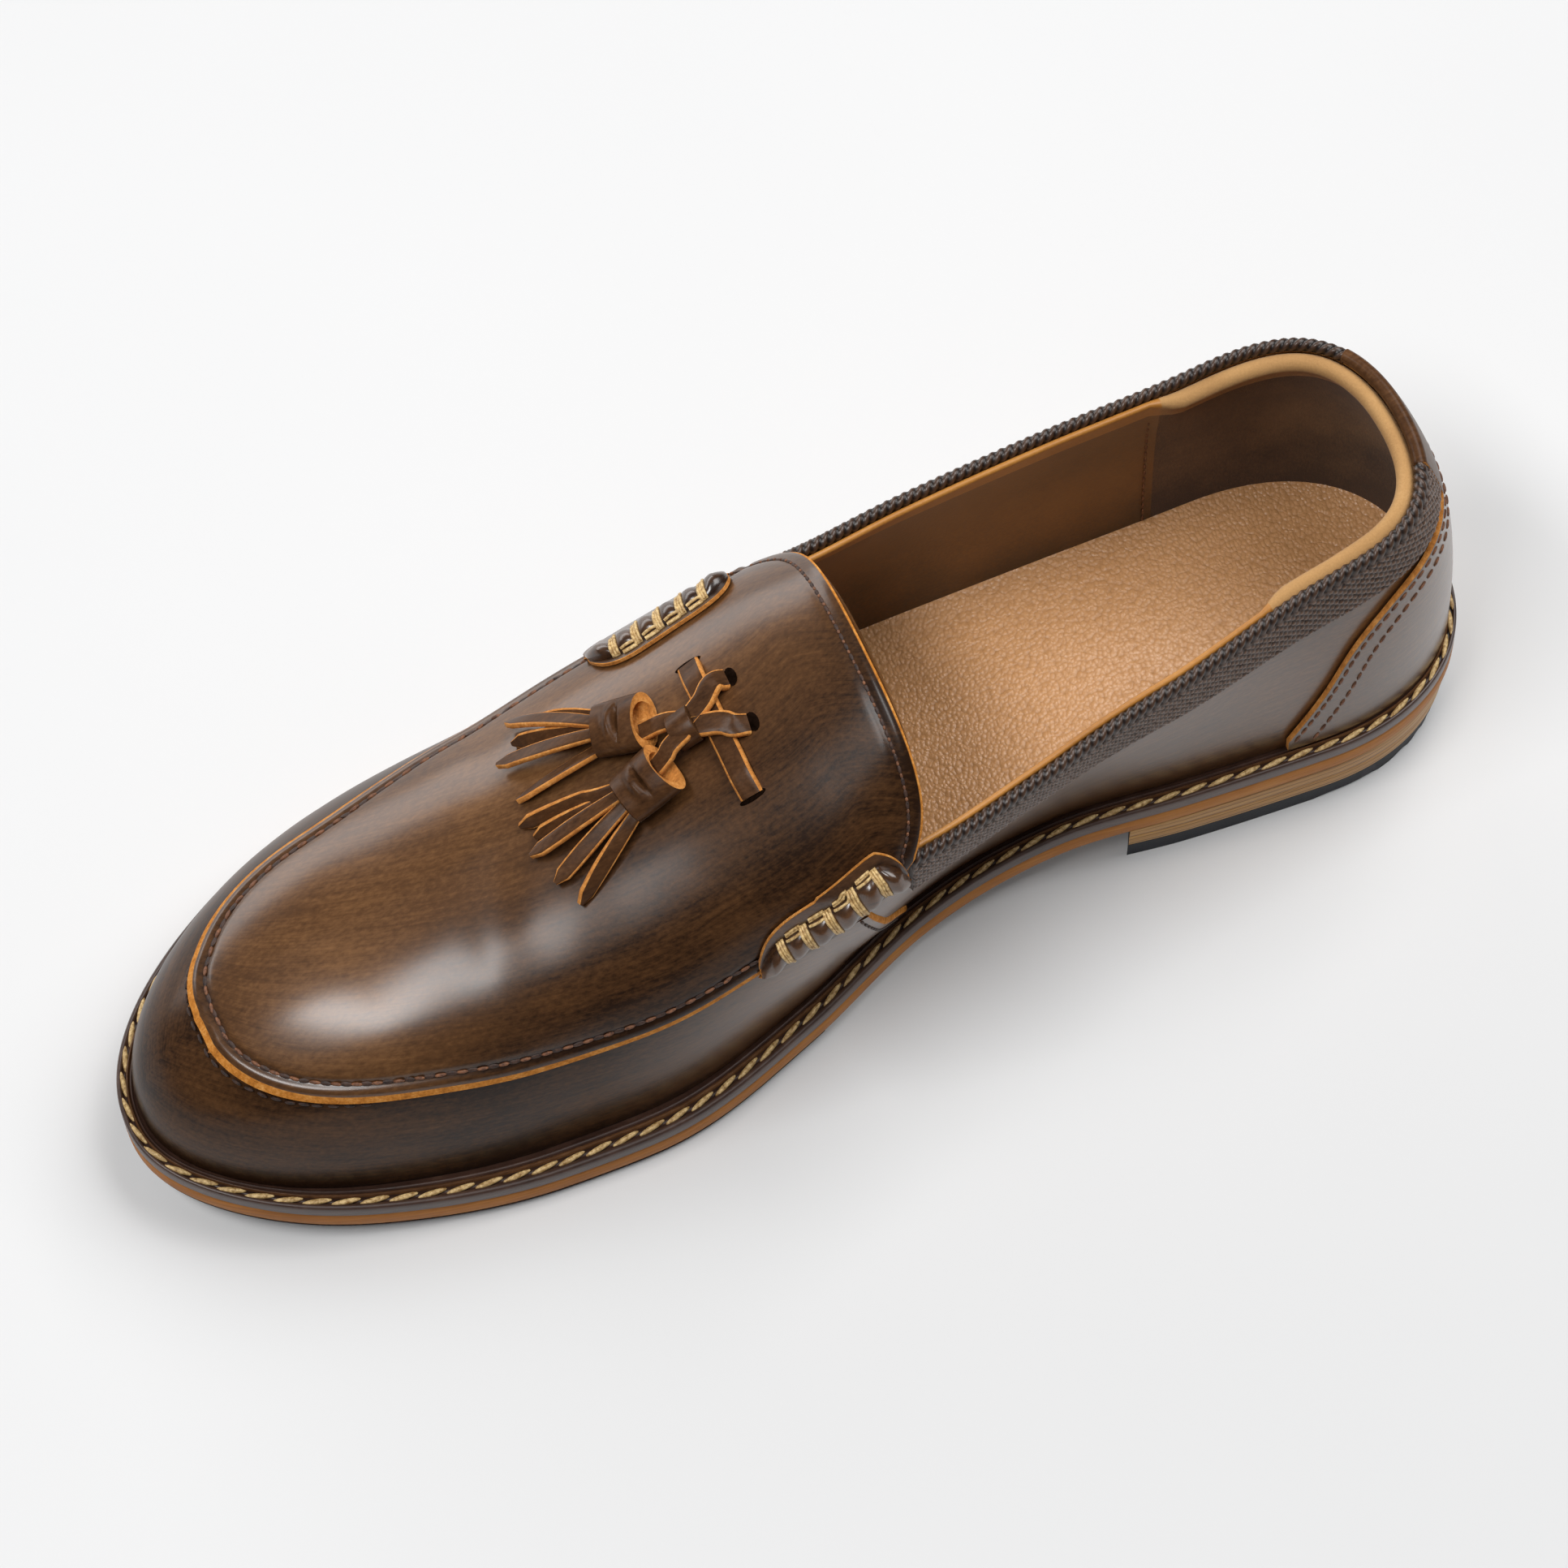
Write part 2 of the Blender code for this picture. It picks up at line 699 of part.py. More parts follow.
def strap_rings(route, width, thickness, point_end):
    """Rectangular sections along a route of x, y and lift rows; the last one may run to a point."""
    route = np.array(route, float)
    centres = np.array([vamp_at(*row) for row in route])
    ups = np.array([vamp_at(x, y, lift + 1) for x, y, lift in route]) - centres
    runs = np.gradient(centres, axis=0)
    rings = []
    for i, (centre, up, run) in enumerate(zip(centres, ups, runs)):
        out = np.cross(run, up)
        out = out / np.linalg.norm(out)
        rise = np.cross(out, run)
        rise = rise / np.linalg.norm(rise)
        half = width / 2
        if point_end and i == len(centres) - 1:
            half = width / 6
        side, top = out * half, rise * thickness / 2
        rings.append([centre - side - top, centre + side - top, centre + side + top, centre - side + top])
    return rings


def fused(name, parts):
    """One solid from parts that overlap."""
    body = parts[0]
    body.name = name
    for other in parts[1:]:
        union = body.modifiers.new("union", "BOOLEAN")
        union.operation = "UNION"
        union.solver = "EXACT"
        union.object = other
    scene = bpy.context.evaluated_depsgraph_get()
    data = bpy.data.meshes.new_from_object(body.evaluated_get(scene))
    body.modifiers.clear()
    body.data = data
    data.name = name
    for other in parts[1:]:
        bpy.data.objects.remove(other, do_unlink=True)
    clean = bmesh.new()
    clean.from_mesh(data)
    bmesh.ops.triangulate(clean, faces=clean.faces)
    clean.to_mesh(data)
    clean.free()
    return body


def strap(name, material, route, width=STRAP_WIDTH, thickness=STRAP, point_end=False):
    skin = Skin()
    skin.sweep(strap_rings(route, width, thickness, point_end))
    return skin.finish(name, material)


def barrel(name, material, route, width, height):
    """Oval tube along a route, for caps and the knot."""
    rings = []
    turns = np.linspace(0, 2 * math.pi, 14, endpoint=False)
    route = np.array(route, float)
    centres = np.array([vamp_at(*row[:3]) for row in route])
    ups = np.array([vamp_at(x, y, lift + 1) for x, y, lift in route[:, :3]]) - centres
    runs = np.gradient(centres, axis=0)
    for centre, up, run, size in zip(centres, ups, runs, route[:, 3]):
        out = np.cross(run, up)
        out = out / np.linalg.norm(out)
        rise = np.cross(out, run)
        rise = rise / np.linalg.norm(rise)
        side, top = out * width / 2 * size, rise * height / 2 * size
        rings.append([centre + side * math.cos(turn) + top * math.sin(turn) for turn in turns])
    skin = Skin()
    skin.sweep(rings)
    return skin.finish(name, material)


def make_tie(material):
    """Lace across the apron, its knot, two ears to the slits behind it, two ends to the tassels."""
    rest = GAP + STRAP / 2
    parts = [strap("tie", material, [(TIE_X, y, rest) for y in np.linspace(TIE_OUTER, TIE_INNER, 9)])]
    knot = [(TIE_X - 1, KNOT_Y, 3.2, 0.7), (KNOT_X, KNOT_Y, 3.6, 1.0), (KNOT_X + 2.5, KNOT_Y, 3.4, 0.8)]
    parts.append(barrel("knot", material, knot, 7.5, 5.5))
    for y in EAR_Y:
        side = (y - KNOT_Y) * 0.4
        route = [(KNOT_X, KNOT_Y + side, 3.4), (TIE_X, (y + KNOT_Y + side) / 2, 3.0), (EAR_X, y, rest)]
        parts.append(strap("ear", material, route))
    for y in TASSEL_Y:
        side = (y - KNOT_Y) * 0.5
        route = [(KNOT_X, KNOT_Y + side / 2, 3.6), (CAP_START - 1.5, KNOT_Y + side * 1.3, 4.3)]
        parts.append(strap("end", material, route, 4.0))
    return fused("tassel_tie", parts)


def make_tassel(name, material, y, lean):
    """Cap rolled from leather with its cut strips fanned out on the apron."""
    centre = GAP + CAP_HEIGHT / 2
    steps = np.linspace(0, 1, 4)
    sizes = (1.0, 0.98, 0.94, 0.90)
    route = [(CAP_START + CAP_LENGTH * t, y + lean * t, centre, size) for t, size in zip(steps, sizes)]
    parts = [barrel("cap", material, route, CAP_WIDTH, CAP_HEIGHT)]
    root = CAP_START + CAP_LENGTH * 0.7
    for i, spread_y in enumerate(np.linspace(-1, 1, STRIPS)):
        high = 1.2 + 3.4 * (i % 2)
        tip_x = CAP_START + CAP_LENGTH + STRIP_LENGTH - 3.0 * abs(spread_y)
        tip_y = y + lean * 2.2 + spread_y * FRINGE_SPREAD
        start = (root, y + lean * 0.7 + spread_y * 2.4, 1.6 + high * 0.8)
        middle = (root + 9, y + lean * 1.3 + spread_y * 5.0, 1.0 + high)
        parts.append(strap("strip", material, [start, middle, (tip_x, tip_y, high)], 3.4, 1.3, True))
    return fused(name, parts)


def main():
    for piece in list(bpy.data.objects):
        bpy.data.objects.remove(piece, do_unlink=True)
    brown = leather("brown_leather", (0.085, 0.042, 0.024), 0.32)
    tan = leather("tan_leather", (0.50, 0.27, 0.11), 0.55)
    sock = leather("sock_leather", (0.32, 0.17, 0.08), 0.6)
    dark = leather("welt_leather", (0.06, 0.03, 0.02), 0.45)
    rubber = leather("black_rubber", (0.02, 0.02, 0.022), 0.7)
    make_outsole(tan)
    make_tread(rubber)
    make_welt(dark)
    make_insole(sock)
    make_heel(tan, rubber)
    make_upper(brown)
    make_apron(brown)
    make_counter(brown)
    inner_end = turn_at(TAB_INNER)
    outer_end = -turn_at(TAB_OUTER)
    throat = turn_at(BAND_END)
    butt = 0.006
    make_band("heel_tab", brown, outer_end + butt, inner_end - butt, TAB_DEPTH, 9)
    make_band("collar_medial", brown, inner_end + butt, throat, BAND_DEPTH, 18)
    make_band("collar_lateral", brown, -throat, outer_end - butt, BAND_DEPTH, 18)
    make_saddle("saddle_medial", brown, 1)
    make_saddle("saddle_lateral", brown, -1)
    make_tie(brown)
    for name, y, lean in zip(("tassel_lateral", "tassel_medial"), TASSEL_Y, (-2.6, 1.6)):
        make_tassel(name, brown, y, lean)


main()
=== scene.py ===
# %% [markdown]
# # A tassel loafer, dressed on its solids
# A shoemaker pulls leather over a last, a wooden form of the foot. The solids were cut from such a form,
# so this lesson repeats the form first and then lays finer leather, thread and rubber on it. Every size
# is in millimetres from the back of the heel, and becomes metres in the frame at the last moment.

# %% Load the frame
import math

import bpy
import numpy as np
from mathutils import Matrix, Vector


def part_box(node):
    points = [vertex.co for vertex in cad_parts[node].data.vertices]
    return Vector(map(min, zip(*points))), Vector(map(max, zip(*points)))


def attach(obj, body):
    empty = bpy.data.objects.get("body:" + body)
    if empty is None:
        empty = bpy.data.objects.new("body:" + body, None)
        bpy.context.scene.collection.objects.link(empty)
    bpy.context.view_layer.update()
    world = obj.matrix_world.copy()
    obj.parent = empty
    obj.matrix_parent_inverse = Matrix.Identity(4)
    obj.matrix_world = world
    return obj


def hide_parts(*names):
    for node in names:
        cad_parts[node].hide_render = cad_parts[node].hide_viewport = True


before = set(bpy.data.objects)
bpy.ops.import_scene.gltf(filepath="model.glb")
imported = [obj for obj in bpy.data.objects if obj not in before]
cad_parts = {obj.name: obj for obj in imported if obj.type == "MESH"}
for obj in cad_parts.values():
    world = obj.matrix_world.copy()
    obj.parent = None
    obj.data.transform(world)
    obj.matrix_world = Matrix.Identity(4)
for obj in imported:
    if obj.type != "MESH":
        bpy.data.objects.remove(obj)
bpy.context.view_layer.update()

MM = 0.001
sole_low, sole_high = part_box("outsole")
SOLE_LENGTH = round((sole_high.x - sole_low.x) / MM, 2)
print("nodes in the frame:", len(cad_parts), "and the sole is", SOLE_LENGTH, "mm long")

# %% [markdown]
# ## The last
# The form could be sculpted, but a form that is a function gives every seam an exact place. Short tables
# hold a row for each section, and a smooth curve runs between the rows. They are the rows of the solids,
# so leather laid on this form lies where the solids lie.

# %% Tables of the last
GAP = 0.3
OUTSOLE = 5.0
WELT = 3.0
TREAD = 1.6
INSOLE = 2.6
APRON = 1.7
LAID = GAP + 0.05


class Table:
    """Rows of named columns, read along a smooth curve between the rows."""

    def __init__(self, columns, rows):
        self.columns = columns.split()
        self.rows = np.array(rows, float)
        self.slopes = np.gradient(self.rows, self.rows[:, 0], axis=0)

    def at(self, column, along):
        key = self.rows[:, 0]
        place = self.columns.index(column)
        value = self.rows[:, place]
        slope = self.slopes[:, place]
        low = np.clip(np.searchsorted(key, along) - 1, 0, len(key) - 2)
        step = key[low + 1] - key[low]
        t = np.clip((along - key[low]) / step, 0, 1)
        ease = t * t * (3 - 2 * t)
        swing = t * (1 - t) * ((1 - t) * slope[low] - t * slope[low + 1])
        return value[low] * (1 - ease) + value[low + 1] * ease + step * swing


PLAN = Table("along inner outer axis", [
    (0.00, 34.0, 34.0, 0.0), (0.12, 32.6, 35.2, 0.0), (0.24, 30.0, 36.0, 0.0), (0.34, 26.3, 37.6, 0.0),
    (0.44, 29.2, 40.2, 0.0), (0.54, 39.7, 43.5, 0.0), (0.64, 48.0, 46.5, 0.0), (0.74, 48.4, 48.0, 0.0),
    (0.84, 46.0, 46.5, 1.5), (0.92, 43.4, 43.5, 3.8), (1.00, 38.0, 41.0, 7.0),
])
BASE = Table("along base", [
    (0.00, 16.5), (0.12, 15.6), (0.27, 14.3), (0.38, 10.5), (0.48, 5.6), (0.58, 2.6),
    (0.66, 1.9), (0.74, 1.9), (0.84, 3.6), (0.92, 6.4), (1.00, 9.6),
])
LAST = Table("along reveal flare_in flare_out ridge crest square_in square_out", [
    (0.00, 3.0, 0.0, 0.0, -0.5, 88.0, 4.0, 4.0),
    (0.15, 4.0, -2.0, -1.0, -2.0, 86.0, 3.5, 3.5),
    (0.26, 4.2, 7.7, 2.2, -1.0, 82.0, 3.0, 3.0),
    (0.36, 4.2, 19.1, 2.6, 3.0, 78.0, 2.7, 2.7),
    (0.44, 4.5, 22.8, 1.5, 6.5, 76.0, 2.6, 2.5),
    (0.50, 4.8, 20.6, 1.5, 7.0, 70.0, 2.9, 2.7),
    (0.60, 5.4, 8.0, 0.5, 5.5, 59.0, 3.2, 2.6),
    (0.70, 5.8, 1.2, 0.0, 3.5, 50.0, 3.4, 2.1),
    (0.80, 5.4, 0.0, 0.0, 3.2, 42.0, 3.0, 2.05),
    (0.90, 4.6, 0.0, 0.0, 3.6, 35.5, 2.7, 2.2),
    (1.00, 3.6, 0.0, 0.0, 5.0, 30.0, 2.5, 2.3),
])
TOPLINE = Table("along top", [
    (0.00, 85.5), (0.04, 84.3), (0.10, 81.0), (0.15, 77.8), (0.20, 74.5),
    (0.26, 71.0), (0.31, 69.0), (0.36, 67.6), (0.42, 67.0), (0.49, 68.5),
])
SEAM = Table("along inner outer", [
    (0.49, 52.0, 54.0), (0.60, 37.8, 44.8), (0.70, 32.0, 36.0), (0.80, 29.2, 32.6),
    (0.90, 26.8, 28.2), (0.95, 26.2, 26.2), (1.00, 25.5, 25.5),
])
COUNTER_TOP = Table("along top", [
    (0.00, 46.5), (0.05, 45.0), (0.09, 39.0), (0.12, 29.0), (0.14, 17.0), (0.165, 4.0),
])
HEEL_RUN, HEEL_ROUND = 0.14, 2.2
TOE_RUN, TOE_ROUND = 0.29, 2.15
TOE_DROP_RUN, TOE_DROP_ROUND = 0.17, 2.2
SHOULDER, FLARE_BEND = 56.0, 1.1
BACK_LEAN, BACK_LEAN_RUN, BACK_HEIGHT = 10.0, 0.20, 62.0
BACK_LIMIT, BACK_BEND = 1.3, 2.6
THROAT = 0.49
SEAM_MEETS, SEAM_BLEND = 0.945, 0.03
TONGUE_END = 0.445
TONGUE_SQUARE = 5.0
print("rows in the last's table:", len(LAST.rows))


# %% The sole's lines
def unit(vectors):
    """Vectors in the same directions with a length of one."""
    return vectors / np.maximum(np.linalg.norm(vectors, axis=-1, keepdims=True), 1e-9)


def run_of(path):
    """Distance along a path at each of its points."""
    return np.concatenate([[0], np.cumsum(np.linalg.norm(np.diff(path, axis=0), axis=1))])


def end_cap(inside):
    """Share of the half width left by the rounded heel and toe."""
    heel = np.clip(1 - inside / HEEL_RUN, 0, 1) ** HEEL_ROUND
    toe = np.clip(1 - (1 - inside) / TOE_RUN, 0, 1) ** TOE_ROUND
    return (1 - heel) ** (1 / HEEL_ROUND) * (1 - toe) ** (1 / TOE_ROUND)


def base(along):
    return np.maximum(BASE.at("base", along), TREAD + GAP)


def welt_seat(along):
    return base(along) + OUTSOLE + GAP


def feather(along):
    return welt_seat(along) + WELT + GAP


def stations(count, low=0.0, high=1.0):
    """Shares of the length, closer together towards both ends."""
    return low + (high - low) * (1 - np.cos(np.linspace(0, math.pi, count))) / 2


def sole_edges(along, inset):
    """Inner and outer edge of the sole in plan, moved inwards by inset."""
    turn = np.arccos(np.clip(1 - 2 * along, -1, 1))
    edges = []
    for side, column in ((1, "inner"), (-1, "outer")):
        def edge(angle):
            share = (1 - np.cos(angle)) / 2
            half = PLAN.at(column, share) * end_cap(share)
            return np.stack([share * SOLE_LENGTH, PLAN.at("axis", share) + side * half], -1)
        step = 1e-3
        run = edge(np.clip(turn + step, 0, math.pi)) - edge(np.clip(turn - step, 0, math.pi))
        run = unit(run)
        inward = np.stack([run[..., 1], -run[..., 0]], -1) * side
        edges.append(edge(turn) + inward * np.broadcast_to(inset, turn.shape)[..., None])
    tips = (along <= 0) | (along >= 1)
    for points in edges:
        points[tips, 1] = PLAN.at("axis", along[tips])
    return edges


def between_edges(inner, outer, shares):
    """Plan points from the outer edge, at a share of -1, to the inner one at 1."""
    return (inner + outer)[:, None] / 2 + shares[None, :, None] * (inner - outer)[:, None] / 2


def lifted(edge, height):
    """Plan points raised to a height function of their own place along the sole."""
    return np.column_stack([edge, height(edge[:, 0] / SOLE_LENGTH)])


# %% Where the shoe lies in the frame
inner_edge, outer_edge = sole_edges(stations(200), 0.0)
HEEL_BACK = np.array([sole_low.x / MM, -(inner_edge[:, 1].max() + outer_edge[:, 1].min()) / 2, 0.0])


def to_frame(points):
    """Millimetres from the back of the heel to metres in the frame."""
    return (np.asarray(points, float) + HEEL_BACK) * MM


print("sole width in mm", round(inner_edge[:, 1].max() - outer_edge[:, 1].min(), 1))


# %% The surface of the last
def last_span():
    heel = LAST.at("reveal", np.array(0.0)) / SOLE_LENGTH
    toe = 1 - LAST.at("reveal", np.array(1.0)) / SOLE_LENGTH
    return heel, toe


LAST_LOW, LAST_HIGH = last_span()


def inside_last(along):
    return np.clip((along - LAST_LOW) / (LAST_HIGH - LAST_LOW), 0, 1)


def turn_at(along):
    return math.acos(1 - 2 * float(inside_last(np.array(along))))


def along_at(turn):
    return LAST_LOW + (LAST_HIGH - LAST_LOW) * (1 - np.cos(turn)) / 2


def at_turn(turn):
    """Share of the length and side of the shoe at a turn round the heel, positive on the inner side."""
    return np.array(float(along_at(abs(turn)))), 1 if turn > 0 else -1


def crest(along):
    inside = inside_last(along)
    drop = np.clip(1 - (1 - inside) / TOE_DROP_RUN, 0, 1) ** TOE_DROP_ROUND
    return LAST.at("crest", along) * (1 - drop) ** (1 / TOE_DROP_ROUND)


def feather_edge(along, side):
    half = PLAN.at("inner" if side > 0 else "outer", along) - LAST.at("reveal", along)
    return PLAN.at("axis", along) + side * half * end_cap(inside_last(along))


def last_point(along, side, angle):
    """Point of the last; angle runs from 0 at the feather edge to a quarter turn at the crest."""
    name = "in" if side > 0 else "out"
    square = LAST.at("square_" + name, along)
    ends = end_cap(inside_last(along))
    height = crest(along) * np.sin(angle) ** (2 / square)
    middle = (feather_edge(along, 1) + feather_edge(along, -1)) / 2
    ridge = middle + (LAST.at("ridge", along) - middle) * ends
    rise = np.clip(height / SHOULDER, 0, 1) ** FLARE_BEND
    shoulder = feather_edge(along, side) + side * LAST.at("flare_" + name, along) * ends * rise
    y = ridge + (shoulder - ridge) * np.cos(angle) ** (2 / square)
    tilt = np.clip(1 - inside_last(along) / BACK_LEAN_RUN, 0, 1) ** 2
    lean = BACK_LEAN * tilt * np.clip(height / BACK_HEIGHT, 0, BACK_LIMIT) ** BACK_BEND
    x = along * SOLE_LENGTH + lean
    return np.stack(np.broadcast_arrays(x, y, feather(along) + height), -1)


def last_normal(along, side, angle):
    step = 2e-3
    turn = np.clip(np.arccos(1 - 2 * inside_last(along)), step, math.pi - step)
    run = last_point(along_at(turn + step), side, angle) - last_point(along_at(turn - step), side, angle)
    above = last_point(along_at(turn), side, np.clip(angle + step, 0, math.pi / 2))
    below = last_point(along_at(turn), side, np.clip(angle - step, 0, math.pi / 2))
    out = -side * np.cross(run, above - below)
    return unit(out)


def on_last(along, side, angle, offset):
    """Point a set distance outside the last."""
    along, angle, offset = np.broadcast_arrays(along, angle, offset)
    return last_point(along, side, angle) + last_normal(along, side, angle) * offset[..., None]


# %% Heights and seams on the last
def angle_at(along, side, height):
    """Angle of the section where the last is a given height over its feather edge."""
    square = LAST.at("square_in" if side > 0 else "square_out", along)
    share = np.clip(height / np.maximum(crest(along), 1e-6), 0, 1)
    return np.arcsin(share ** (square / 2))


def top_height(along):
    return TOPLINE.at("top", along) - feather(along)


def seam_angle(along, side):
    """Angle of the apron's seam; behind the throat it keeps the throat's height over the floor."""
    held = np.maximum(along, THROAT)
    inner = SEAM.at("inner", held)
    height = inner
    if side < 0:
        apart = np.clip((SEAM_MEETS - held) / SEAM_BLEND, 0, 1)
        height = inner + (SEAM.at("outer", held) - inner) * apart
    return angle_at(along, side, height + feather(held) - feather(along))


# %% Sections measured by girth
SECTION_POINTS = 140


class Section:
    """One section of the last on one side, measured by girth up from the feather edge."""

    def __init__(self, along, side):
        self.along = np.array(float(along))
        self.side = side
        self.angles = np.linspace(0, math.pi / 2, SECTION_POINTS)
        self.girth = run_of(last_point(np.full(SECTION_POINTS, along), side, self.angles))

    def angle(self, girth):
        return np.interp(girth, self.girth, self.angles)

    def reach(self, angle):
        return np.interp(angle, self.angles, self.girth)

    def seam(self):
        return self.reach(float(seam_angle(self.along, self.side)))

    def point(self, girth, offset):
        angle = self.angle(np.asarray(girth, float))
        return on_last(np.full(angle.shape, self.along), self.side, angle, offset)


print("the last runs from", round(LAST_LOW * SOLE_LENGTH, 1), "to", round(LAST_HIGH * SOLE_LENGTH, 1), "mm")

# %% [markdown]
# ## Ways of making a piece
# By hand one would add a grid, move its points onto the form, give it a thickness and round its edges.
# These helpers do just that with the same operators, so each piece below stays short. A second UV map of
# real millimetres, called lay, goes with each panel, and patterns such as stitch ply and weave read it.


# %% Choosing and editing
def chosen(piece):
    """Makes a piece the only one selected, and the active one."""
    bpy.ops.object.select_all(action="DESELECT")
    piece.select_set(True)
    bpy.context.view_layer.objects.active = piece


def edited(piece, *steps):
    """Runs edit mode operators on everything in a piece; a step is an operator and its settings."""
    chosen(piece)
    bpy.ops.object.mode_set(mode="EDIT")
    bpy.ops.mesh.select_all(action="SELECT")
    for step, settings in steps:
        step(**settings)
    bpy.ops.object.mode_set(mode="OBJECT")


# %% Panels
CORE_REACH, CORE_Y, CORE_Z = 0.9, 0.003, 0.03
STAND_INS = [bpy.data.materials.new(name) for name in ("face", "back", "rim")]


def face_vectors(data):
    """Normals and centres of a mesh's faces, in metres."""
    normal = np.empty((len(data.polygons), 3), np.float32)
    centre = np.empty((len(data.polygons), 3), np.float32)
    data.polygons.foreach_get("normal", normal.ravel())
    data.polygons.foreach_get("center", centre.ravel())
    return normal, centre


def panel(name, points, lay=None, facing=None):
    """A grid with a vertex for each point. It faces away from the last's core, or along facing."""
    points = np.asarray(points, float)
    rows, columns = points.shape[:2]
    bpy.ops.object.select_all(action="DESELECT")
    bpy.ops.mesh.primitive_grid_add(x_subdivisions=columns - 1, y_subdivisions=rows - 1, size=1)
    piece = bpy.context.object
    piece.name = name
    data = piece.data
    data.name = name
    data.vertices.foreach_set("co", to_frame(points).astype(np.float32).ravel())
    data.update()
    for material in STAND_INS:
        data.materials.append(material)
    if lay is not None:
        corner = np.empty(len(data.loops), np.int32)
        data.loops.foreach_get("vertex_index", corner)
        data.uv_layers[0].name = "lay"
        flat = np.stack([np.broadcast_to(part, (rows, columns)).ravel() for part in lay], -1)
        data.uv_layers[0].data.foreach_set("uv", flat[corner].astype(np.float32).ravel())
    normal, centre = face_vectors(data)
    core = centre * (CORE_REACH, 0, 0) + (0, CORE_Y, CORE_Z)
    wanted = centre - core if facing is None else np.array(facing)
    if (normal * wanted).sum() < 0:
        edited(piece, (bpy.ops.mesh.flip_normals, {}))
    return piece


def marked(piece, name, values):
    """Writes a number for each vertex, which a finish can read by its name."""
    attribute = piece.data.attributes.new(name, "FLOAT", "POINT")
    attribute.data.foreach_set("value", np.asarray(values, np.float32).ravel())


# %% Thickness, edges and tubes
def applied(piece, kind, **settings):
    chosen(piece)
    bpy.ops.object.modifier_add(type=kind)
    modifier = piece.modifiers[-1]
    for key, value in settings.items():
        setattr(modifier, key, value)
    bpy.ops.object.modifier_apply(modifier=modifier.name)


def thickened(piece, thickness, back=0, rim=1):
    """Gives a panel its thickness inwards; back and rim say which finishes those faces take."""
    applied(piece, "SOLIDIFY", thickness=thickness * MM, offset=-1, use_even_offset=False,
            material_offset=back, material_offset_rim=rim)


def softened(piece, width, angle=40, segments=2):
    applied(piece, "BEVEL", width=width * MM, segments=segments, limit_method="ANGLE",
            angle_limit=math.radians(angle), use_clamp_overlap=True)


def merged(piece, distance=0.004):
    edited(piece, (bpy.ops.mesh.remove_doubles, {"threshold": distance * MM}))


def shut(piece):
    """Merges doubles, fills open ends and turns all faces outwards."""
    merged(piece)
    chosen(piece)
    bpy.ops.object.mode_set(mode="EDIT")
    bpy.ops.mesh.select_mode(type="EDGE")
    bpy.ops.mesh.select_all(action="DESELECT")
    bpy.ops.mesh.select_non_manifold()
    bpy.ops.mesh.fill_holes(sides=0)
    bpy.ops.mesh.select_mode(type="VERT")
    bpy.ops.mesh.select_all(action="SELECT")
    bpy.ops.mesh.normals_make_consistent(inside=False)
    bpy.ops.object.mode_set(mode="OBJECT")


def tube(name, rings):
    """Closed rings joined from first to last, shut at both ends. lay runs along it and round it."""
    rings = np.asarray(rings, float)
    points = np.concatenate([rings, rings[:, :1]], axis=1)
    run = run_of(rings.mean(axis=1))[:, None]
    piece = panel(name, points, (run, np.linspace(0, 1, points.shape[1])[None]))
    shut(piece)
    return piece


# %% Joining, reading and painting faces
def joined(name, pieces):
    bpy.ops.object.select_all(action="DESELECT")
    for piece in pieces:
        piece.select_set(True)
    bpy.context.view_layer.objects.active = pieces[0]
    if len(pieces) > 1:
        bpy.ops.object.join()
    pieces[0].name = name
    pieces[0].data.name = name
    return pieces[0]


def smooth(piece, angle=45):
    chosen(piece)
    bpy.ops.object.shade_smooth_by_angle(angle=math.radians(angle))


def faces_of(piece):
    """Normals and centres of a piece's faces, the centres in millimetres from the back of the heel."""
    normal, centre = face_vectors(piece.data)
    return normal, centre / MM - HEEL_BACK


def lay_of(piece):
    """Middle of each face in the lay map."""
    data = piece.data
    uv = np.empty(len(data.loops) * 2, np.float32)
    data.uv_layers["lay"].data.foreach_get("uv", uv)
    starts = np.empty(len(data.polygons), np.int32)
    counts = np.empty(len(data.polygons), np.int32)
    data.polygons.foreach_get("loop_start", starts)
    data.polygons.foreach_get("loop_total", counts)
    return np.add.reduceat(uv.reshape(-1, 2), starts) / counts[:, None]


def painted(piece, mask, index):
    """Gives the faces in the mask another of the piece's finishes."""
    held = np.empty(len(piece.data.polygons), np.int32)
    piece.data.polygons.foreach_get("material_index", held)
    held[mask] = index
    piece.data.polygons.foreach_set("material_index", held)


# %% Settling a piece
made = []


def settled(piece, finishes, nodes=(), angle=45):
    """Dresses a piece, ties it to the shoe's body and hides the solids it stands for."""
    held = np.empty(len(piece.data.polygons), np.int32)
    piece.data.polygons.foreach_get("material_index", held)
    piece.data.materials.clear()
    for finish in finishes:
        piece.data.materials.append(finish.material)
    piece.data.polygons.foreach_set("material_index", np.minimum(held, len(finishes) - 1))
    smooth(piece, angle)
    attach(piece, "root")
    if nodes:
        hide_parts(*nodes)
    made.append(piece)
    print(piece.name, len(piece.data.polygons), "faces")


# %% [markdown]
# ## Threads
# A seam is one stitch, modelled once and copied along a path. Real stitches sink at their ends, so the
# model is a long drop, and the copies are joined into one mesh because hundreds of objects would be slow.


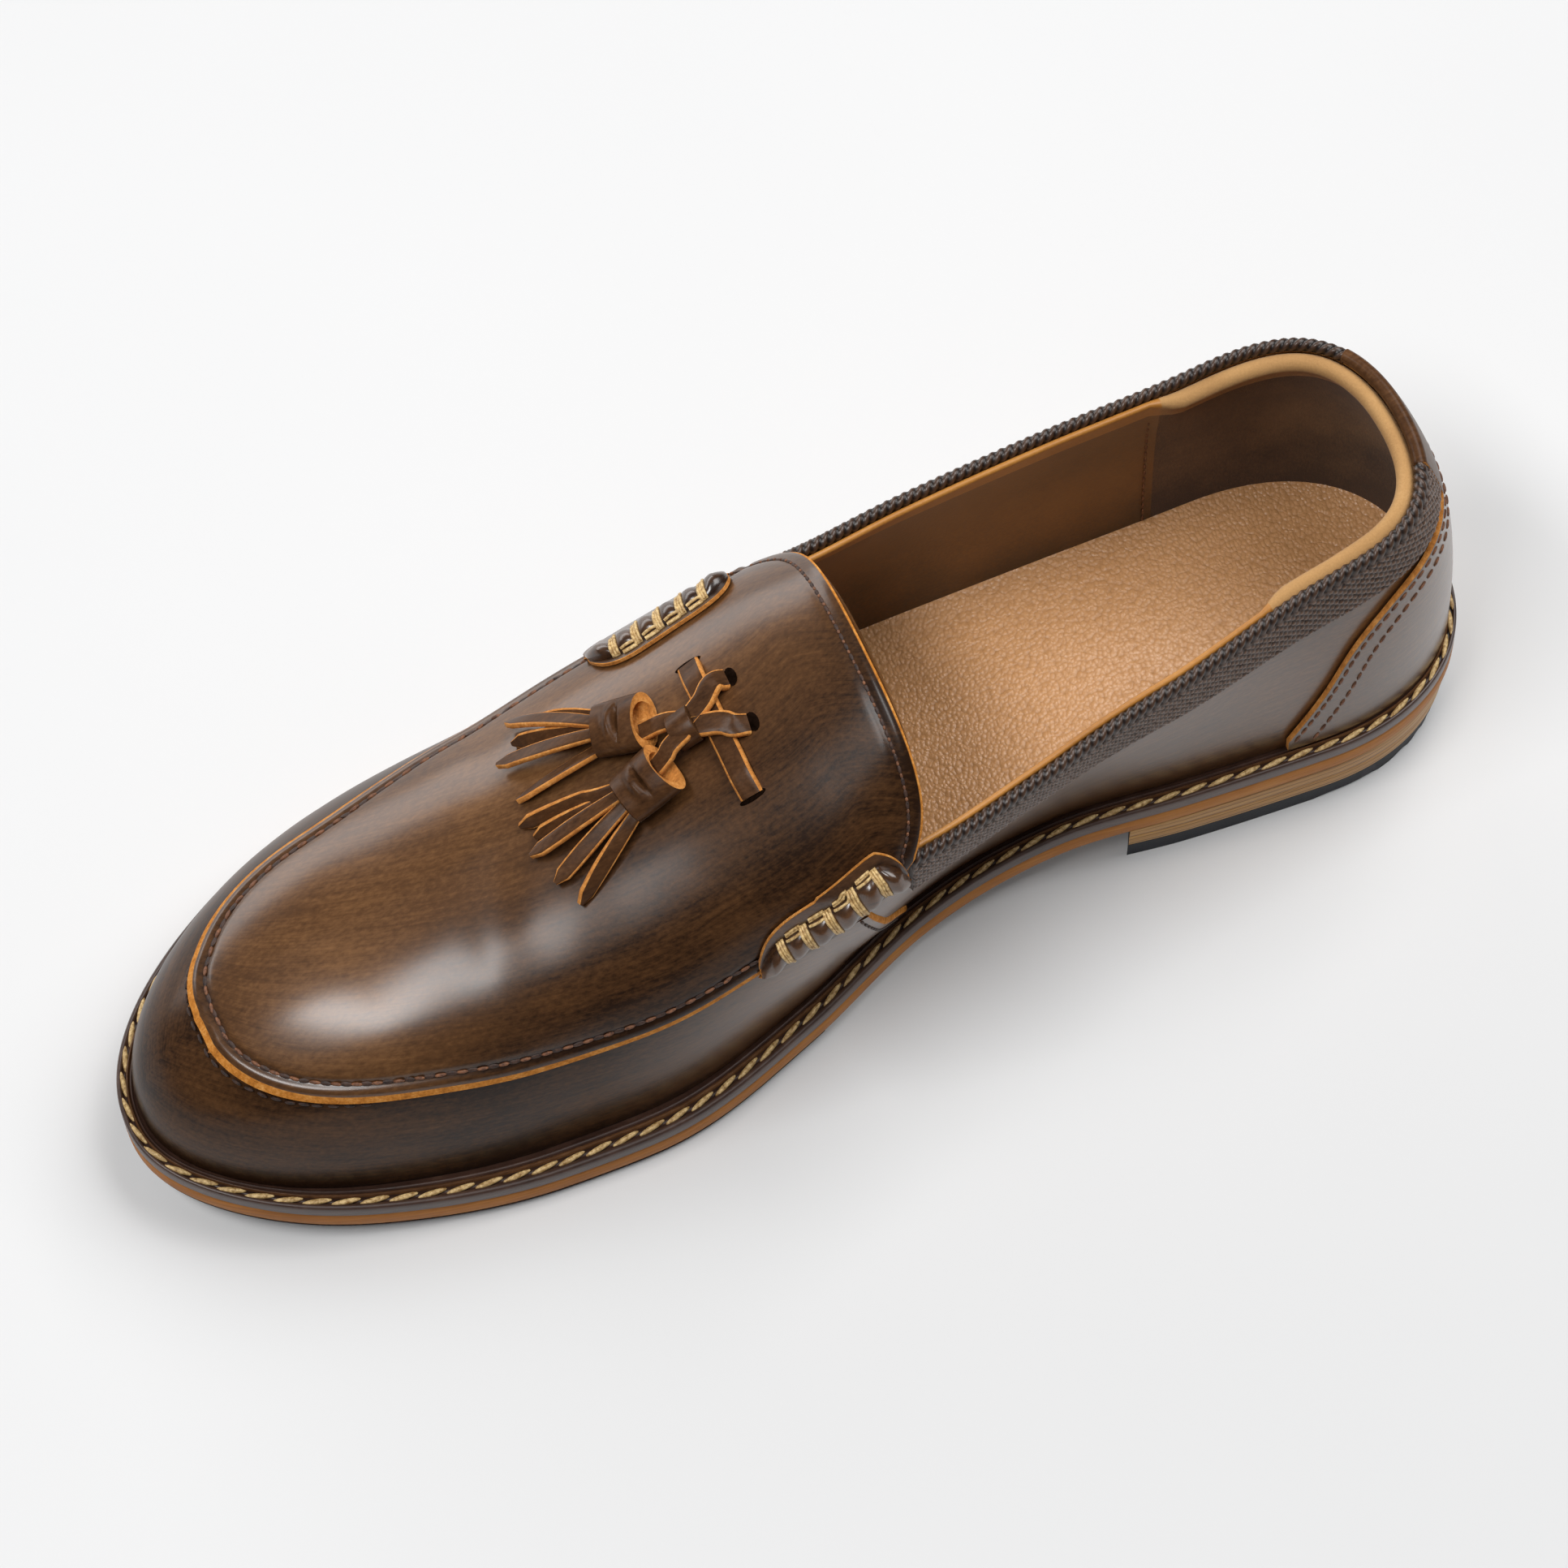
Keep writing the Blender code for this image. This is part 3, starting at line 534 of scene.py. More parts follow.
# %% Stitches along a path
def places_along(path, ups, pitch, lift=0.0, yaw=0.0, start=0.5):
    """Places at even steps along a path: x runs with the path and z away from the leather."""
    path = np.asarray(path, float)
    ups = np.broadcast_to(np.asarray(ups, float), path.shape)
    run = run_of(path)
    count = max(1, int(round(run[-1] / pitch)))
    steps = (np.arange(count) + start) * run[-1] / count
    ahead = np.gradient(path, run, axis=0)

    def read(values):
        return np.stack([np.interp(steps, run, values[:, k]) for k in range(3)], -1)

    centre, forward, up = read(path), read(ahead), read(ups)
    side = np.cross(up, forward)
    side = unit(side)
    forward = unit(forward)
    up = np.cross(forward, side)
    places = np.zeros((count, 4, 4))
    places[:, :3, 0] = forward * math.cos(yaw) + side * math.sin(yaw)
    places[:, :3, 1] = side * math.cos(yaw) - forward * math.sin(yaw)
    places[:, :3, 2] = up
    places[:, :3, 3] = centre + up * lift
    places[:, 3, 3] = 1
    return places


def stitch_model(length, width, height):
    """One stitch, as long as length along x, in millimetres."""
    bpy.ops.object.select_all(action="DESELECT")
    bpy.ops.mesh.primitive_uv_sphere_add(segments=8, ring_count=7, radius=0.5, rotation=(0, math.pi / 2, 0))
    model = bpy.context.object
    bpy.ops.object.transform_apply(rotation=True)
    model.scale = (length, width, height)
    bpy.ops.object.transform_apply(scale=True)
    return model


def copies(name, model, places):
    """Joins a copy of a small model for every place, and removes the model."""
    verts = np.array([vertex.co for vertex in model.data.vertices])
    faces = [tuple(face.vertices) for face in model.data.polygons]
    spots = np.einsum("nij,vj->nvi", places[:, :3, :3], verts) + places[:, None, :3, 3]
    data = bpy.data.meshes.new(name)
    all_faces = [[corner + i * len(verts) for corner in face] for i in range(len(places)) for face in faces]
    data.from_pydata(to_frame(spots.reshape(-1, 3)).tolist(), [], all_faces)
    piece = bpy.data.objects.new(name, data)
    bpy.context.collection.objects.link(piece)
    bpy.data.objects.remove(model, do_unlink=True)
    return piece


def seam(name, path, ups, pitch, size, finish, lift=0.0, yaw=0.0, start=0.5):
    """A row of stitches; size is the length, width and height of one."""
    piece = copies(name, stitch_model(*size), places_along(path, ups, pitch, lift, yaw, start))
    settled(piece, [finish], angle=80)


# %% [markdown]
# ## Finishes
# A finish is a small node tree. One class wraps a socket so that shader maths reads as arithmetic, and one
# method adds any other node. What is the same all over a surface is set on the shader itself.


# %% Values
class Value:
    """A socket of a finish; arithmetic on it adds Math nodes."""

    def __init__(self, finish, socket):
        self.finish = finish
        self.socket = socket

    def math(self, operation, *inputs):
        return self.finish.node("ShaderNodeMath", {"operation": operation}, inputs)

    def __add__(self, other):
        return self.math("ADD", self, other)

    def __sub__(self, other):
        return self.math("SUBTRACT", self, other)

    def __rsub__(self, other):
        return self.math("SUBTRACT", other, self)

    def __mul__(self, other):
        return self.math("MULTIPLY", self, other)

    __radd__ = __add__

    def between(self, low, high):
        """0 under low, 1 over high and a soft step between them."""
        settings = {"interpolation_type": "SMOOTHSTEP"}
        inputs = {"Value": self, "From Min": low, "From Max": high}
        return self.finish.node("ShaderNodeMapRange", settings, inputs)


# %% A finish and its nodes
class Finish:
    """A material with one shader, and the nodes that feed it."""

    def __init__(self, name, **sockets):
        self.material = bpy.data.materials.new(name)
        self.material.use_nodes = True
        self.tree = self.material.node_tree
        self.shader = self.tree.nodes["Principled BSDF"]
        self.set(**sockets)

    def node(self, kind, settings=None, inputs=(), output=0):
        node = self.tree.nodes.new(kind)
        for key, value in (settings or {}).items():
            if key == "stops":
                ramp = node.color_ramp
                while len(ramp.elements) < len(value):
                    ramp.elements.new(1.0)
                for element, (place, colour) in zip(ramp.elements, value):
                    element.position = place
                    element.color = (*colour, 1)
            else:
                setattr(node, key, value)
        pairs = inputs.items() if isinstance(inputs, dict) else enumerate(inputs)
        for key, value in pairs:
            self.feed(node.inputs[key], value)
        return Value(self, node.outputs[output])

    def feed(self, socket, value):
        if isinstance(value, Value):
            self.tree.links.new(value.socket, socket)
        elif isinstance(value, tuple) and len(value) == 3 and socket.type == "RGBA":
            socket.default_value = (*value, 1)
        else:
            socket.default_value = value

    def set(self, **sockets):
        for name, value in sockets.items():
            self.feed(self.shader.inputs[name.replace("_", " ")], value)

    def place(self, stretch=(1, 1, 1)):
        """Object coordinates in metres, stretched along the axes."""
        where = self.node("ShaderNodeTexCoord", output="Object")
        if stretch == (1, 1, 1):
            return where
        return self.node("ShaderNodeMapping", inputs={"Vector": where, "Scale": stretch})

    def lay(self, stretch=(1, 1, 1)):
        """Millimetres of the lay map."""
        where = self.node("ShaderNodeUVMap", {"uv_map": "lay"})
        return self.node("ShaderNodeMapping", inputs={"Vector": where, "Scale": stretch})

    def axis(self, letter):
        return self.node("ShaderNodeSeparateXYZ", inputs=(self.place(),), output=letter)

    def noise(self, where, scale, detail=3.0, roughness=0.55):
        inputs = {"Vector": where, "Scale": scale, "Detail": detail, "Roughness": roughness}
        return self.node("ShaderNodeTexNoise", inputs=inputs)

    def cells(self, where, scale):
        return self.node("ShaderNodeTexVoronoi", inputs={"Vector": where, "Scale": scale})

    def read(self, name):
        return self.node("ShaderNodeAttribute", {"attribute_name": name}, output="Fac")

    def ramp(self, value, *stops):
        return self.node("ShaderNodeValToRGB", {"stops": stops}, (value,))

    def mix(self, factor, first, second):
        return self.node("ShaderNodeMix", {"data_type": "RGBA"}, {0: factor, 6: first, 7: second}, 2)

    def bump(self, height, depth):
        """Normal pushed by a height between 0 and 1; depth is its full height in millimetres."""
        inputs = {"Height": height, "Distance": depth * MM, "Strength": 1.0}
        return self.node("ShaderNodeBump", inputs=inputs)


# %% [markdown]
# ## Leather of the upper
# The upper is smooth calf, dyed and then rubbed with dark wax, so brown shows between long dark streaks
# and the wax gathers at seams and over the toe. A picture of leather would be quicker, but noise stretched
# along the shoe gives the streaks at any zoom. The gloss is a thin coat over a rougher skin.


# %% Burnished leather
def raw_tan(finish):
    """Colour of the hide where it is cut: orange tan, with loose fibres."""
    fibres = finish.noise(finish.place(), 1500.0, 5.0, 0.7)
    spots = finish.noise(finish.place(), 420.0, 2.0)
    tone = fibres * 0.65 + spots * 0.45 - 0.05
    dark, middle, light = (0.20, 0.062, 0.010), (0.60, 0.225, 0.036), (0.92, 0.49, 0.15)
    return finish.ramp(tone, (0.22, dark), (0.50, middle), (0.80, light)), fibres


def burnished(name, deep, middle, warm, streaked=True):
    """Waxed calf; numbers of a piece darken it, for wax and in places painted shade, or show the cut hide.
    """
    finish = Finish(name, IOR=1.2, Coat_IOR=1.75, Coat_Roughness=0.24)
    broad = finish.lay((0.035, 0.16, 1)) if streaked else finish.place((40, 160, 160))
    narrow = finish.lay((0.085, 1.15, 1)) if streaked else finish.place((120, 900, 900))
    streaks = finish.noise(broad, 1.0, 4.0, 0.68) * 0.5 + finish.noise(narrow, 1.0, 4.0, 0.7) * 0.5
    clouds = finish.noise(finish.place(), 18.0, 2.0)
    fine = finish.noise(finish.place((0.5, 1, 1)), 1300.0, 3.0, 0.6)
    wax_and_painted_shade = finish.read("burnish")
    gloss = finish.read("gloss")
    raw = finish.read("raw").between(0.35, 0.65)
    # Darkening: wax on most pieces; painted shade near the welt on the walls and in the saddle tabs' fold.
    tone = clouds * 0.35 + streaks * 0.8 + fine * 0.42 - wax_and_painted_shade * 0.30 - 0.27
    colour = finish.ramp(tone, (0.18, deep), (0.50, middle), (0.84, warm))
    tan, fibres = raw_tan(finish)
    grain = finish.cells(finish.place(), 1700.0) * 0.45 + finish.noise(finish.place(), 900.0, 4.0) * 0.55
    finish.set(
        Base_Color=finish.mix(raw, colour, tan),
        Roughness=0.30 + fine * 0.12 + raw * 0.45,
        Coat_Weight=(0.06 + gloss * (0.95 - streaks * 0.3)) * (1 - raw),
        Normal=finish.bump(grain * 0.7 + fibres * raw * 6.0, 0.03),
    )
    return finish


calf = burnished("burnished_calf", (0.020, 0.0080, 0.0032), (0.100, 0.0430, 0.0150), (0.230, 0.108, 0.040))
strap_calf = burnished("strap_calf", (0.022, 0.0090, 0.0042), (0.090, 0.0385, 0.0150),
                       (0.195, 0.092, 0.038), streaked=False)


def raw_edge():
    finish = Finish("raw_edge", Roughness=0.85)
    colour, fibres = raw_tan(finish)
    finish.set(Base_Color=colour, Normal=finish.bump(fibres, 0.25))
    return finish


tan_edge = raw_edge()
print("finishes so far:", [material.name for material in bpy.data.materials][-3:])

# %% [markdown]
# ## Linings and the sock
# Inside, the sides are lined with smooth tan leather and the heel with soft nap, and the foot stands on a
# pebbled leather sock. Pebbles are cells of about a millimetre, raised by bump since they are so low.


# %% Lining finishes
def lining_leather(name, dark, middle, light):
    finish = Finish(name, Coat_Roughness=0.3)
    clouds = finish.noise(finish.place(), 30.0, 4.0)
    grain = finish.cells(finish.place(), 1300.0)
    pores = finish.noise(finish.place(), 1400.0, 3.0)
    # The depth number darkens the lining further down inside the shoe: painted shade.
    tone = clouds * 0.7 + pores * 0.3 - finish.read("depth") * 0.35
    colour = finish.ramp(tone, (0.2, dark), (0.5, middle), (0.78, light))
    finish.set(Base_Color=colour, Roughness=0.42 + pores * 0.12, Coat_Weight=0.18 + clouds * 0.1,
               Normal=finish.bump(grain * 0.5 + pores * 0.5, 0.04))
    return finish


def heel_nap(name, dark, middle, light):
    finish = Finish(name, Sheen_Weight=0.08, Sheen_Roughness=0.5, Roughness=0.9)
    clouds = finish.noise(finish.place(), 60.0, 4.0)
    hairs = finish.noise(finish.place((1, 1, 0.4)), 2400.0, 4.0, 0.7)
    # The depth number darkens the nap further down inside the heel: painted shade.
    tone = clouds * 0.6 + hairs * 0.4 - finish.read("depth") * 0.3
    colour = finish.ramp(tone, (0.24, dark), (0.55, middle), (0.8, light))
    finish.set(Base_Color=colour, Normal=finish.bump(hairs, 0.10))
    return finish


def pebbled_sock():
    finish = Finish("pebbled_sock", Coat_Roughness=0.22)
    bend = finish.noise(finish.place(), 500.0, 2.0)
    where = finish.node("ShaderNodeVectorMath", {"operation": "MULTIPLY_ADD"},
                        (bend, (0.0009, 0.0009, 0.0009), finish.place((1.0, 0.85, 1.0))))
    pebbles = 1 - finish.cells(where, 1250.0)
    clouds = finish.noise(finish.place(), 14.0, 1.0)
    fine = finish.noise(finish.place(), 2600.0, 2.0)
    tone = clouds * 0.6 + fine * 0.15 + pebbles * 0.22 + 0.02
    colour = finish.ramp(tone, (0.22, (0.36, 0.165, 0.052)), (0.52, (0.66, 0.345, 0.150)),
                         (0.80, (0.84, 0.56, 0.340)))
    finish.set(Base_Color=colour, Roughness=0.42 - pebbles * 0.12,
               Coat_Weight=pebbles.between(0.3, 0.8) * 0.8, Normal=finish.bump(pebbles, 0.24))
    return finish


# The lip finishes are lighter copies of the lining and nap: painted light on the lip, which faces the
# lamps.
tan_lip_painted_light = lining_leather("lining_lip_painted_light", (0.30, 0.115, 0.018), (0.50, 0.210, 0.038), (0.64, 0.30, 0.065))
tan_lining = lining_leather("lining_leather", (0.050, 0.018, 0.0035), (0.185, 0.072, 0.013),
                            (0.30, 0.125, 0.026))
nap_lip_painted_light = heel_nap("nap_lip_painted_light", (0.38, 0.195, 0.066), (0.54, 0.300, 0.112), (0.68, 0.41, 0.178))
nap = heel_nap("heel_nap", (0.065, 0.030, 0.010), (0.19, 0.100, 0.037), (0.30, 0.165, 0.068))
sock = pebbled_sock()
print("lining finishes:", tan_lining.material.name, nap.material.name, sock.material.name)

# %% [markdown]
# ## Welt, sole, heel and threads
# The welt is dark waxed leather and the sole's edge is stained tan. The heel is a stack of split leather,
# whose layers show as thin dark lines, so its colour runs in bands of height that noise pulls about.


# %% Welt, edge and stack
def waxed_welt():
    finish = Finish("waxed_welt", Coat_Roughness=0.25)
    streaks = finish.noise(finish.place((0.4, 0.4, 2.0)), 500.0, 5.0, 0.65)
    clouds = finish.noise(finish.place(), 45.0, 3.0)
    tone = streaks * 0.6 + clouds * 0.4
    colour = finish.ramp(tone, (0.25, (0.022, 0.010, 0.007)), (0.52, (0.060, 0.028, 0.018)),
                         (0.8, (0.125, 0.066, 0.042)))
    finish.set(Base_Color=colour, Roughness=0.36 + streaks * 0.15, Coat_Weight=0.25 + clouds * 0.15,
               Normal=finish.bump(streaks, 0.09))
    return finish


def stained_edge():
    """Edge of the leather sole, tan with fine layers."""
    finish = Finish("stained_edge", IOR=1.3, Coat_Roughness=0.3)
    layers = finish.noise(finish.place((0.06, 0.06, 2.2)), 900.0, 5.0, 0.6)
    clouds = finish.noise(finish.place(), 40.0, 4.0)
    tone = layers * 0.55 + clouds * 0.55 - 0.04
    colour = finish.ramp(tone, (0.24, (0.22, 0.076, 0.012)), (0.5, (0.41, 0.150, 0.023)),
                         (0.8, (0.58, 0.26, 0.055)))
    finish.set(Base_Color=colour, Roughness=0.50 + layers * 0.15, Coat_Weight=0.02 + clouds * 0.1,
               Normal=finish.bump(layers, 0.08))
    return finish


def stacked_leather():
    """Heel stack: bands of a millimetre or so with dark lines between some of them."""
    finish = Finish("stacked_leather", IOR=1.32, Coat_Roughness=0.3)
    pull = finish.noise(finish.place((1, 1, 0.5)), 26.0, 3.0)
    height = finish.axis("Z") * 1000.0 + pull * 1.1
    bands = finish.node("ShaderNodeMath", {"operation": "PINGPONG"}, (height, 0.95))
    grain = finish.noise(finish.place((0.05, 0.05, 2.6)), 1100.0, 6.0, 0.65)
    lines = 1 - bands.between(0.02, 0.30)
    tone = grain * 0.75 + pull * 0.35 - lines * 0.26 - 0.02
    colour = finish.ramp(tone, (0.15, (0.110, 0.044, 0.010)), (0.45, (0.43, 0.205, 0.047)),
                         (0.78, (0.66, 0.38, 0.115)))
    finish.set(Base_Color=colour, Roughness=0.42 + grain * 0.18, Coat_Weight=0.22 - lines * 0.12,
               Normal=finish.bump(grain * 0.6 + bands * 0.4, 0.10))
    return finish


# %% Rubber, waist and thread
def moulded_rubber(name, dark, light, relief):
    finish = Finish(name, IOR=1.35)
    specks = finish.noise(finish.place(), 1600.0, 4.0, 0.6)
    clouds = finish.noise(finish.place(), 50.0, 3.0)
    tone = specks * 0.5 + clouds * 0.5
    colour = finish.ramp(tone, (0.3, dark), (0.75, light))
    finish.set(Base_Color=colour, Roughness=0.55 + specks * 0.2, Normal=finish.bump(specks, relief))
    return finish


def ribbed_tread():
    """Forepart rubber with a fine cross rib."""
    finish = Finish("ribbed_tread", IOR=1.5)
    lines = finish.node("ShaderNodeMath", {"operation": "PINGPONG"}, (finish.axis("X") * 1000.0, 0.6))
    crossed = finish.node("ShaderNodeMath", {"operation": "PINGPONG"}, (finish.axis("Y") * 1000.0, 0.6))
    specks = finish.noise(finish.place(), 1400.0, 3.0)
    height = lines * 0.9 + crossed * 0.6 + specks * 0.1
    colour = finish.ramp(height, (0.1, (0.020, 0.011, 0.010)), (0.85, (0.060, 0.034, 0.029)))
    finish.set(Base_Color=colour, Roughness=0.55 + specks * 0.15, Normal=finish.bump(height, 0.25))
    return finish


def waist_leather():
    finish = Finish("waist_leather", Coat_Roughness=0.2)
    clouds = finish.noise(finish.place((0.4, 1, 1)), 40.0, 4.0)
    pores = finish.noise(finish.place(), 1500.0, 3.0)
    tone = clouds * 0.8 + pores * 0.2
    colour = finish.ramp(tone, (0.25, (0.085, 0.040, 0.020)), (0.5, (0.17, 0.092, 0.050)),
                         (0.8, (0.26, 0.150, 0.085)))
    finish.set(Base_Color=colour, Roughness=0.32 + pores * 0.1, Coat_Weight=0.35 + clouds * 0.15,
               Normal=finish.bump(pores, 0.03))
    return finish


def thread(name, dark, light, roughness=0.55):
    """Twisted thread; the ply runs askew to the stitch."""
    finish = Finish(name)
    strands = finish.noise(finish.place(), 1300.0, 4.0, 0.6)
    colour = finish.ramp(strands, (0.33, dark), (0.66, light))
    finish.set(Base_Color=colour, Roughness=roughness + strands * 0.1, Normal=finish.bump(strands, 0.14))
    return finish


welt_wax = waxed_welt()
edge_stain = stained_edge()
stack = stacked_leather()
black_rubber = moulded_rubber("black_rubber_top", (0.010, 0.011, 0.015), (0.030, 0.032, 0.040), 0.05)
tread_rubber = ribbed_tread()
waist = waist_leather()
gold_thread = thread("gold_thread", (0.30, 0.155, 0.040), (0.86, 0.62, 0.29), 0.42)
dark_thread = thread("dark_thread", (0.012, 0.006, 0.005), (0.075, 0.034, 0.020))
rust_thread = thread("rust_thread", (0.060, 0.020, 0.008), (0.26, 0.105, 0.045))
cream_thread = thread("cream_thread", (0.40, 0.30, 0.17), (0.80, 0.70, 0.50))
print("finishes in all:", len(bpy.data.materials))

# %% [markdown]
# ## The walls of the upper
# Vamp and quarters go all round the foot, from the welt up to the collar and in under the apron. They
# could be modelled as two halves, but one panel that runs from the toe round the heel and back has no
# seam where there is none. Its two ends meet over the toe, where the doubles are merged.

# %% Walls
UNDERLAP = 3.0
SKIN = 1.2
WALL_ROWS = 381
WALL_COLUMNS = 45


def wall_row(turn):
    """Points up one side of the shoe, with the girth of each."""
    along, side = at_turn(turn)
    section = Section(along, side)
    if along < THROAT:
        limit = section.reach(float(angle_at(section.along, side, top_height(section.along))))
    else:
        limit = min(section.seam() + UNDERLAP, section.girth[-1])
    girth = np.linspace(0, limit, WALL_COLUMNS)
    return section.point(girth, 0.0), girth, np.full(WALL_COLUMNS, along)


wall_turns = np.linspace(-math.pi, math.pi, WALL_ROWS)
wall_rows = [wall_row(turn) for turn in wall_turns]
wall_points, wall_girth, wall_along = (np.array(part) for part in zip(*wall_rows))
walls = panel("upper_walls", wall_points, (wall_along * SOLE_LENGTH, wall_girth))
welt_shade = np.exp(-wall_girth / 7.0)
below_seam = wall_girth.max(1, keepdims=True) - UNDERLAP - wall_girth
near_seam = np.where(wall_along > THROAT, np.exp(-below_seam / 8.0), 0)
toe_wax = np.clip((wall_along - 0.54) / 0.16, 0, 1)
# Painted shade near the welt, where wall and welt meet; also darker below the apron's seam and over the
# toe.
marked(walls, "burnish", 0.5 * welt_shade + 0.35 * np.clip(near_seam, 0, 1) + 0.6 * toe_wax)
marked(walls, "gloss", 0.12 + 0.83 * (1 - toe_wax))
merged(walls)
thickened(walls, SKIN, back=1, rim=2)
settled(walls, [calf, tan_lining, tan_edge], ["upper"])

# %% [markdown]
# ## The apron and its tongue
# The apron is the raised plate on top of the foot. It laps over the walls with a raw tan edge, and a row
# of dark stitches sinks into it a little way in. Its outer face is laid on the form first, then pressed
# down along the stitch line and in the soft creases where the foot bends, each a row in a table.

# %% The apron's face
APRON_COLUMNS = 131
VAMP_ROWS = 121
VAMP_EASE = 1.45
TONGUE_ROWS = 18
STITCH_INSET = 4.4
GROOVE = 0.42
SKIVE = 2.0
SKIVE_DROP = 0.5
TONGUE_SKIVE = 0.9
TONGUE_DROP = 0.4
SKIVE_BEND = 1.3
APRON_SHARES = np.sin(np.linspace(math.pi / 2, -math.pi / 2, APRON_COLUMNS))
toe_fine = np.linspace(0.85, 1, 1200)
FRONT_WIDTH = 10.0
FRONT_BULGE = 0.36
EDGE_STEP = 0.2


def across(along, shares, offset):
    """Points over the crest from seam to seam; shares run from 1 at the inner seam to -1 at the outer."""
    shares = np.atleast_1d(np.asarray(shares, float))
    points = np.zeros((len(shares), 3))
    for side in (1, -1):
        mine = shares >= 0 if side > 0 else shares < 0
        section = Section(along, side)
        start = section.seam()
        girth = start + (1 - np.abs(shares[mine])) * (section.girth[-1] - start)
        points[mine] = section.point(girth, offset)
    return points


toe_fine = toe_fine[crest(toe_fine) > SEAM.at("inner", toe_fine) + 0.02]
toe_widths = [np.linalg.norm(np.diff(across(along, (1, -1), 0.0), axis=0)) for along in toe_fine[::6]]
APRON_FRONT = float(np.interp(-FRONT_WIDTH, -np.array(toe_widths), toe_fine[::6]))


def apron_sheet(offset):
    """Rows from the tongue's rounded edge over the throat to a short, slightly rounded row at the toe."""
    steps = np.sin(np.linspace(0, VAMP_EASE, VAMP_ROWS)) / math.sin(VAMP_EASE)
    vamp = [across(share, APRON_SHARES, offset) for share in THROAT + (APRON_FRONT - THROAT) * steps]
    reach = (THROAT - TONGUE_END) * (1 - np.abs(APRON_SHARES) ** TONGUE_SQUARE) ** 0.7
    rows = np.linspace(1, 0, TONGUE_ROWS + 1)[:-1]
    depths = np.linspace(0, THROAT - TONGUE_END, 28)
    back = np.array([across(THROAT - depth, APRON_SHARES, offset) for depth in depths])
    tongue = []
    for row in rows:
        spots = reach * row
        line = [[np.interp(spot, depths, back[:, j, k]) for k in range(3)] for j, spot in enumerate(spots)]
        tongue.append(line)
    sheet = np.concatenate([np.array(tongue), np.array(vamp)])
    ahead = sheet[-1] - sheet[-3]
    ahead = unit(ahead)
    sheet[-1] += ahead * FRONT_BULGE * (1 - APRON_SHARES[:, None] ** 2)
    for column in (0, -1):
        sheet[:TONGUE_ROWS, column] = sheet[TONGUE_ROWS, column]
    return sheet


# %% The apron's edge
def nearest(points, path):
    """Distance from every point to a path, over the points of the path."""
    flat = points.reshape(-1, 3)
    best = np.full(len(flat), 1e9)
    for spot in path:
        best = np.minimum(best, ((flat - spot) ** 2).sum(1))
    return np.sqrt(best).reshape(points.shape[:-1])


apron_face = apron_sheet(LAID + APRON)
apron_under = apron_sheet(LAID + APRON - 1)
apron_out = unit(apron_face - apron_under)


def round_edge(rows):
    """The border of the sheet from the throat round the toe and back."""
    return np.concatenate([rows[TONGUE_ROWS:, 0], rows[-1, 1:-1], rows[TONGUE_ROWS:, -1][::-1]])


edge_run = run_of(round_edge(apron_face))
edge_spots = np.arange(0, edge_run[-1], EDGE_STEP)


def evenly(rows):
    """Values round the border of the sheet, read at even steps."""
    border = round_edge(rows)
    return np.stack([np.interp(edge_spots, edge_run, border[:, k]) for k in range(3)], -1)


seam_edge, seam_out = evenly(apron_face), evenly(apron_out)
tongue_edge = apron_face[0]
to_seam = nearest(apron_face, seam_edge)
to_tongue = nearest(apron_face, tongue_edge)
print("apron", apron_face.shape, "front at", round(APRON_FRONT * SOLE_LENGTH, 1), "mm")

# %% Creases and the apron's plate
CREASES = Table("row x0 y0 x1 y1 width depth", [
    (0, 203.0, -2.0, 213.0, 27.0, 5.2, 0.42),
    (1, 214.0, -4.0, 221.0, 20.0, 6.5, -0.22),
    (2, 194.0, -30.0, 204.0, -9.0, 5.5, 0.30),
    (3, 192.0, 8.0, 200.0, 36.0, 6.0, 0.25),
    (4, 224.0, -24.0, 236.0, 4.0, 8.0, 0.22),
])


def creased(points):
    """How far the soft creases press the leather in, in millimetres."""
    depth = np.zeros(points.shape[:-1])
    for _, x0, y0, x1, y1, width, deep in CREASES.rows:
        start, run = np.array([x0, y0]), np.array([x1 - x0, y1 - y0])
        share = np.clip((points[..., :2] - start) @ run / (run @ run), 0, 1)
        away = np.linalg.norm(points[..., :2] - start - share[..., None] * run, axis=-1)
        depth += deep * np.exp(-(away / width) ** 2) * np.sin(math.pi * (0.08 + 0.84 * share))
    return depth


press = GROOVE * np.exp(-((to_seam - STITCH_INSET) / 0.8) ** 2) + creased(apron_face)
press += 0.22 * np.exp(-((to_tongue - 3.0) / 0.8) ** 2) - 0.18 * np.exp(-((to_seam - 2.6) / 0.8) ** 2)
press += SKIVE_DROP * np.clip(1 - to_seam / SKIVE, 0, 1) ** SKIVE_BEND
press += TONGUE_DROP * np.clip(1 - to_tongue / TONGUE_SKIVE, 0, 1) ** SKIVE_BEND
apron_top = apron_face - apron_out * press[..., None]
girth_steps = np.linalg.norm(np.diff(apron_face, axis=1, prepend=apron_face[:, :1]), axis=-1)
girth_lay = np.cumsum(girth_steps, axis=1)
apron = panel("apron_leather", apron_top, (apron_face[..., 0], girth_lay))
toe_shade = np.clip((apron_face[..., 0] - 236) / 30, 0, 1)
edge_shade = np.exp(-np.minimum(to_seam, to_tongue * 1.4) / 6.5)
groove_shade = np.exp(-((to_seam - STITCH_INSET) / 0.9) ** 2)
